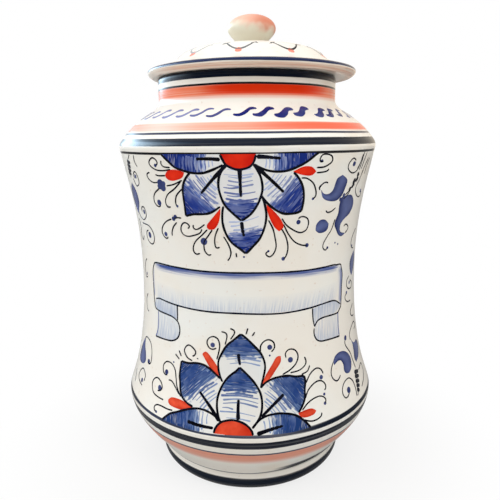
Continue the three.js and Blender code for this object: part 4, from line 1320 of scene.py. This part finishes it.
def layPaint(name, picture, pot, material, lift, onTop, roundAt):
    strokes = picture.flatCurve(name + "_strokes")
    piece = runTree(name, picture.flatMesh(name + "_patches"), paintTree, {
        "Strokes": strokes, "Pot": pot, "On top": onTop, "Middle": lid["middle"] * mm, "Round": roundAt * mm,
        "Lift": lift * mm, "Relief": paint["relief"], "Step": paint["strokeStep"] * mm,
        "Bristles": paint["bristle"], "Material": material,
    }, paint["sharpest"])
    bpy.data.objects.remove(strokes)
    return piece


def layPictures(pictures, inks, pot, body, onTop=False, roundAt=paint["round"]):
    for name, picture in pictures.items():
        lift = lifts.get(name, paint["lift"])
        piece = layPaint(name, picture, pot, inks[name], lift, onTop, roundAt)
        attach(piece, body)


def rimmed(row, lane):
    # Paint gathers along the edges of a patch
    least = 0.42
    return least + (1 - least) * abs(2 * lane - 1) ** 1.6


def fadeIn(start, end):
    return lambda row, lane: max(0.0, min(1.15, (row - start) / (end - start)))


def fadeAcross(low, high, ends):
    def load(row, lane):
        fromEnd = min(row, 1 - row) / ends if ends else 1.0
        return max(0.0, low + (high - low) * lane) * min(1.0, fromEnd)
    return load


def hatch(picture, petal, aside, chance):
    # Brush strokes across a petal, thin and pale near its foot, broad and deep near its tip
    def vary(limits):
        return limits[0] + limits[1] * chance.random()

    fine = 80
    left, leftLength = smooth(petal["left"], fine)
    right, rightLength = smooth(petal["right"], fine)
    length = (leftLength + rightLength) / 2
    start, end = petal["hatch"]
    inset = hatching["inset"]
    place = start
    while place < end:
        depth = (place - start) / (end - start)
        row = round(place * fine)
        after, before = min(row + 3, fine), max(row - 3, 0)
        along = (left[after] + right[after] - left[before] - right[before]).normalized()
        ragged = hatching["ragged"] * (1 - 0.6 * depth)
        first = left[row].lerp(right[row], inset + chance.random() * ragged)
        last = left[row].lerp(right[row], 1 - inset - chance.random() * ragged)
        if chance.random() < hatching["split"]:
            last = first.lerp(last, vary(hatching["lifted"]))
        bow = along * hatching["bow"] * (last - first).length * vary(hatching["bowing"])
        width = hatching["thin"] + (hatching["broad"] - hatching["thin"]) * depth * vary(hatching["press"])
        points = [tuple(first), tuple(first.lerp(last, 0.5) + bow), tuple(last)]
        if chance.random() < 0.5:
            points.reverse()
        load = min(1.0, max(0.0, 1.7 * depth - 0.1 + 0.4 * (chance.random() - 0.5)))
        picture.stroke(points, (width * 1.15, width * 0.5), aside, load)
        place += hatching["pitch"] * (1.35 - 0.5 * depth) * vary(hatching["spacing"]) / length


def drawFlower(flower, blue, hatches, red, slate, lines, aside, chance):
    for petal in flower["petals"]:
        blue.patch(petal, fadeIn(*petal["wash"]), petal["level"], aside)
        hatch(hatches, petal, aside, chance)
        for edge, first in petal["drawn"].items():
            lines.stroke(petal[edge][first:], penWidth["outline"], aside)
    red.patch(flower["disc"], rimmed, levels["disc"], aside)
    for bud in flower["buds"]:
        red.patch(bud, rimmed, levels["bud"], aside)
    for line in flower["outlines"]:
        lines.stroke(line, penWidth["outline"], aside)
    for line in flower["veins"]:
        lines.stroke(line, penWidth["vein"], aside)
    for line in flower["tendrils"]:
        lines.stroke(line, penWidth["tendril"], aside, penLoad["flower"])
    for dot in flower["dots"]:
        slate.dot(*dot, aside)


def drawSpray(spray, slate, lines, aside):
    for leaf in spray["leaves"]:
        slate.patch(leaf, rimmed, levels["leaf"], aside)
    for line in spray["dashes"]:
        lines.stroke(line, penWidth["dash"], aside, penLoad["dash"])
    for line in spray["tendrils"]:
        lines.stroke(line, penWidth["tendril"], aside, penLoad["spray"])
    for dot in spray["dots"]:
        slate.dot(*dot, aside)


def drawOrnament():
    blue, hatches, red, slate, lines, shade, folds = (Picture() for _ in range(7))
    chance = random.Random(hatching["seed"])
    for aside in (0.0, math.pi * paint["round"]):      # the front, and half way round
        for flower in (topFlower, bottomFlower):
            drawFlower(flower, blue, hatches, red, slate, lines, aside, chance)
        for spray in (sideSprays, leftSprays):
            drawSpray(spray, slate, lines, aside)
    for line in banner["outlines"]:
        lines.stroke(line, penWidth["banner"], load=penLoad["banner"])
    for line in banner["soft"]:
        slate.stroke(line, penWidth["banner"], load=penLoad["soft"])
    for picture, washes in ((shade, banner["shade"]), (folds, banner["folds"])):
        for wash in washes:
            picture.patch(wash, fadeAcross(*wash["edge"], wash["ends"]), levels["banner"])
    return {
        "petal_washes": blue, "petal_hatching": hatches, "banner_shades": shade, "banner_folds": folds,
        "red_buds": red, "slate_leaves": slate, "dark_outlines": lines,
    }


def fromHalfTurn(angle):
    # The back repeats the front, so an angle is taken from the nearer of the two, in radians
    return (angle + math.pi / 2) % math.pi - math.pi / 2


def drawNeckStrokes():
    strokes = Picture()
    look = neckStrokes
    starts = list(look["starts"])
    rest = math.tau * paint["round"] - (starts[-1] - starts[0])
    more = round(rest / look["pitch"])
    starts += [starts[-1] + rest * (number + 1) / more for number in range(more - 1)]
    for number, start in enumerate(starts):
        low = look["low"] + look["sway"] * math.sin(number * 2.3)
        aside = fromHalfTurn((start + look["run"] / 2 - look["fullest"]) / paint["round"])
        facing = 0.5 + 0.5 * math.cos(look["narrow"] * aside)
        radius = look["thin"] + (look["thick"] - look["thin"]) * facing ** 3
        load = min(1.0, look["ink"][0] + look["ink"][1] * facing)
        points = [(start + x * look["run"], low + y * look["rise"]) for x, y in look["shape"]]
        strokes.stroke(points, [radius * share for share in look["swell"]], load=load)
    return strokes


def drawFestoons():
    lines, dots = Picture(), Picture()
    low, high, radius = festoons["low"], festoons["high"], festoons["radius"]
    half = math.radians(festoons["half"]) * festoons["arc"]
    leastInk, mostInk = festoons["ink"]
    for number in range(festoons["count"]):
        angle = math.radians(festoons["first"] + number * 360 / festoons["count"])
        centre = angle * festoons["arc"]
        # Paler away from the darkest angle: painted highlight where light washes out the lid's left.
        away = fromHalfTurn(angle - math.radians(festoons["darkest"]))
        load = max(leastInk, mostInk * math.cos(festoons["narrow"] * away))
        swag = [(centre + half * x / 4, low - (low - high) * (x / 4) ** 2) for x in range(-4, 5)]
        lines.stroke(swag, (radius, radius), load=load)
        for side in (-1, 1):
            end = centre + side * half
            hook = [(end + x, high + y) for x, y in festoons["hook"]]
            tail = [(end + side * x, high + y) for x, y in festoons["tail"]]
            lines.stroke(hook, (radius, radius * 0.6), load=load)
            lines.stroke(tail, (radius * 0.9, radius * 0.6), load=load)
        dots.dot(centre, festoons["dotAt"], festoons["dot"])
    return {"lid_festoons": lines, "lid_dots": dots}


# Stage: pale floor, soft lights, and the camera where the photograph was taken

camera = {"back": 0.350, "height": 0.2261, "pitch": 12.767, "roll": 0.624, "lens": 36.0, "shift": 0.0029}
lamps = [
    {"name": "window_left", "place": (-1.28, -0.12, 0.72), "size": 1.1, "watts": 12.8,
     "colour": (0.97, 0.99, 1.0)},
    {"name": "room_right", "place": (0.4, -0.55, 0.74), "size": 0.6, "watts": 4.5,
     "colour": (1.0, 0.98, 0.95)},
    {"name": "ceiling", "place": (0.0, -0.3, 1.3), "size": 1.2, "watts": 6, "colour": (1.0, 1.0, 1.0)},
]
lampAim = Vector((0, 0, 0.15))
floorLook = {
    "radius": 3.0, "paper": (0.66, 0.66, 0.65, 1), "mirrored": 0.3,
    "shine": 0.78, "shadow": (0.06, 0.2),      # how white it is in the jar's shadow, and where that fades
}
# What the glaze mirrors: a dim room in front, a window at the left and a warm wall at the right. The pairs
# are the parts of a ray's direction between which each of them comes in.
room = {
    "light": 0.38,
    "front": 0.15, "frontDepth": (0.1, -0.45), "frontHeight": (0.75, 0.35),
    "wall": (0.1, 0.9), "wallLean": 0.6, "wallShade": 0.5, "wallTint": (1, 0.88, 0.72, 1),
    "window": 13.0, "windowTint": (0.62, 0.83, 1.0, 1), "leftward": (-0.28, -0.6),
    "sill": (0.12, 0.26), "head": (0.76, 0.6), "nearEdge": (-0.5, 0.4), "farEdge": (0.92, 0.7),
}
white = (1.0, 1.0, 1.0, 1.0)


def makeCamera():
    data = bpy.data.cameras.new("camera")
    data.lens = camera["lens"]
    data.sensor_width = 36.0
    data.shift_x = camera["shift"]
    data.clip_start = 0.01
    item = newObject("camera", data)
    item.location = (0, -camera["back"], camera["height"])
    item.rotation_mode = "QUATERNION"
    pitched = Matrix.Rotation(math.radians(90 - camera["pitch"]), 3, "X")
    rolled = Matrix.Rotation(-math.radians(camera["roll"]), 3, "Z")
    item.rotation_quaternion = (pitched @ rolled).to_quaternion()
    bpy.context.scene.camera = item


def makeFloor():
    disc = bmesh.new()
    bmesh.ops.create_circle(disc, cap_ends=True, radius=floorLook["radius"], segments=96)
    mesh = bpy.data.meshes.new("floor")
    disc.to_mesh(mesh)
    disc.free()
    floor = newObject("floor", mesh)
    material, tree = newMaterial("floor_paper")
    away = addNode(tree, "ShaderNodeVectorMath", {0: objectPlace(tree)}, operation="LENGTH").outputs["Value"]
    lit = times(tree, ramp(tree, away, *floorLook["shadow"]), 1.0 - floorLook["shine"])
    path = addNode(tree, "ShaderNodeLightPath").outputs
    mirrorRay = maths(tree, "MAXIMUM", path["Is Glossy Ray"], path["Is Transmission Ray"])
    seen = maths(tree, "MAXIMUM", path["Is Camera Ray"], mirrorRay)
    share = times(tree, plus(tree, lit, floorLook["shine"]), seen)
    shown = remainder(tree, times(tree, path["Is Glossy Ray"], 1.0 - floorLook["mirrored"]))
    paper = addNode(tree, "ShaderNodeBsdfDiffuse", {"Color": floorLook["paper"]}).outputs[0]
    glow = addNode(tree, "ShaderNodeEmission", {"Color": white, "Strength": shown}).outputs[0]
    mixed = addNode(tree, "ShaderNodeMixShader", {0: share, 1: paper, 2: glow}).outputs[0]
    addNode(tree, "ShaderNodeOutputMaterial", {0: mixed})
    mesh.materials.append(material)


def makeRoom():
    world = bpy.data.worlds.new("room")
    bpy.context.scene.world = world
    world.use_nodes = True
    tree = world.node_tree
    tree.nodes.clear()
    path = addNode(tree, "ShaderNodeLightPath").outputs
    mirrorRay = maths(tree, "MAXIMUM", path["Is Glossy Ray"], path["Is Transmission Ray"])
    way = splitVector(tree, addNode(tree, "ShaderNodeTexCoord").outputs["Generated"])
    front = times(tree, ramp(tree, way[1], *room["frontDepth"]), ramp(tree, way[2], *room["frontHeight"]))
    backdrop = remainder(tree, times(tree, front, 1.0 - room["front"]))
    # How far up a face is turned that mirrors this ray to the front, so the window's sill looks level
    towards = maths(tree, "SQRT", maths(tree, "MAXIMUM", remainder(tree, way[1]), 0.01))
    slant = maths(tree, "DIVIDE", way[2], towards)
    level = times(tree, ramp(tree, slant, *room["sill"]), ramp(tree, slant, *room["head"]))
    depth = times(tree, ramp(tree, way[1], *room["nearEdge"]), ramp(tree, way[1], *room["farEdge"]))
    side = times(tree, ramp(tree, way[0], *room["leftward"]), depth)
    window = times(tree, side, level, room["window"])
    shown = plus(tree, backdrop, window)
    wall = ramp(tree, plus(tree, way[0], times(tree, way[1], room["wallLean"])), *room["wall"])
    light = times(tree, remainder(tree, times(tree, wall, room["wallShade"])), room["light"])
    strength = blendNumber(tree, path["Is Camera Ray"], light, 1.0)
    strength = blendNumber(tree, mirrorRay, strength, shown)
    warm = times(tree, wall, remainder(tree, path["Is Camera Ray"]))
    bluish = times(tree, maths(tree, "MINIMUM", window, 1.0), mirrorRay)
    hue = blendColour(tree, bluish, blendColour(tree, warm, white, room["wallTint"]), room["windowTint"])
    sky = addNode(tree, "ShaderNodeBackground", {"Color": hue, "Strength": strength}).outputs[0]
    addNode(tree, "ShaderNodeOutputWorld", {0: sky})


def makeLamps():
    for lamp in lamps:
        data = bpy.data.lights.new(lamp["name"], "AREA")
        data.size = lamp["size"]
        data.energy = lamp["watts"]
        data.color = lamp["colour"]
        item = newObject(lamp["name"], data)
        item.location = lamp["place"]
        item.rotation_euler = (lampAim - Vector(lamp["place"])).to_track_quat("-Z", "Y").to_euler()
        item.visible_glossy = False


bpy.context.scene.view_settings.view_transform = "Standard"
makeCamera()
makeFloor()
makeRoom()
makeLamps()
print("stage ready")

turningTree = makeTurningTree()
bodyOutside, bodyInside = bodyOutline()
thrownBody = turn("thrown_body", bodyOutside, bodyInside, bodyGlaze(), ridge=turning["ridge"])
turnedFoot = turn("turned_foot", footOutline(), [], footGlaze())
lidDome = turn("lid_dome_and_brim", coverOutline(), [], lidGlaze(), lid["middle"])
lidRing = turn("lid_locating_ring", flangeOutline(), [], flangeGlaze(), lid["middle"], turning["flangeTurns"])
lidKnob = turn("lid_ball_knob", knobOutline(), [], knobGlaze(), knob["middle"], turning["knobTurns"])
for piece, node, body, slot in [
    (thrownBody, "jar_body", "jar", "body_glaze"), (turnedFoot, "foot_ring", "jar", "foot_glaze"),
    (lidDome, "lid_cover", "lid", "lid_glaze"), (lidRing, "lid_flange", "lid", "flange_glaze"),
    (lidKnob, "lid_knob", "lid", "knob_glaze"),
]:
    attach(piece, body)
    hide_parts(node)
print("turned pieces ready")

paintTree = makePaintTree()
lowHatch = (tint(40, 66, 124), tint(138, 156, 190))
lowRed = (tint(178, 36, 16), tint(226, 84, 56))
inks = {
    "petal_washes": petalWash("petal_wash"),
    "banner_shades": thinWash("banner_shade", tint(44, 68, 136), tint(104, 122, 176), 1.1, 0.04, 0.35),
    "banner_folds": thinWash("banner_fold", tint(104, 126, 172), tint(184, 196, 214), 0.06, 1.0, 0.34),
    "petal_hatching": brushPaint("hatch_paint", tint(34, 56, 134), tint(176, 188, 220), 0.3, 120.0, lowHatch),
    "red_buds": brushPaint("red_paint", tint(196, 20, 2), tint(230, 48, 18), 0.6, 110.0, lowRed),
    "slate_leaves": brushPaint("slate_paint", tint(24, 33, 82), tint(98, 110, 160), 0.3, 80.0),
    "dark_outlines": brushPaint("line_paint", inkTone["line"], tint(28, 32, 54), 0.3),
    "neck_strokes": brushPaint("indigo_paint", tint(18, 34, 104), tint(124, 132, 178), 0.22),
    # The grey ink's pale end is the festoons' painted highlight.
    "lid_festoons": brushPaint("grey_paint", tint(32, 38, 48), tint(172, 176, 178), 0.3),
    "lid_dots": brushPaint("coral_paint", tint(222, 118, 98), tint(236, 164, 146), 0.5),
}
jarPictures = {**drawOrnament(), "neck_strokes": drawNeckStrokes()}
layPictures(jarPictures, inks, thrownBody, "jar")
layPictures(drawFestoons(), inks, lidDome, "lid", True, festoons["arc"])
print("painting ready")

for item in bpy.context.scene.objects:
    if item.type == "MESH":
        print(item.name, len(item.data.loop_triangles) or len(item.data.polygons), "faces")
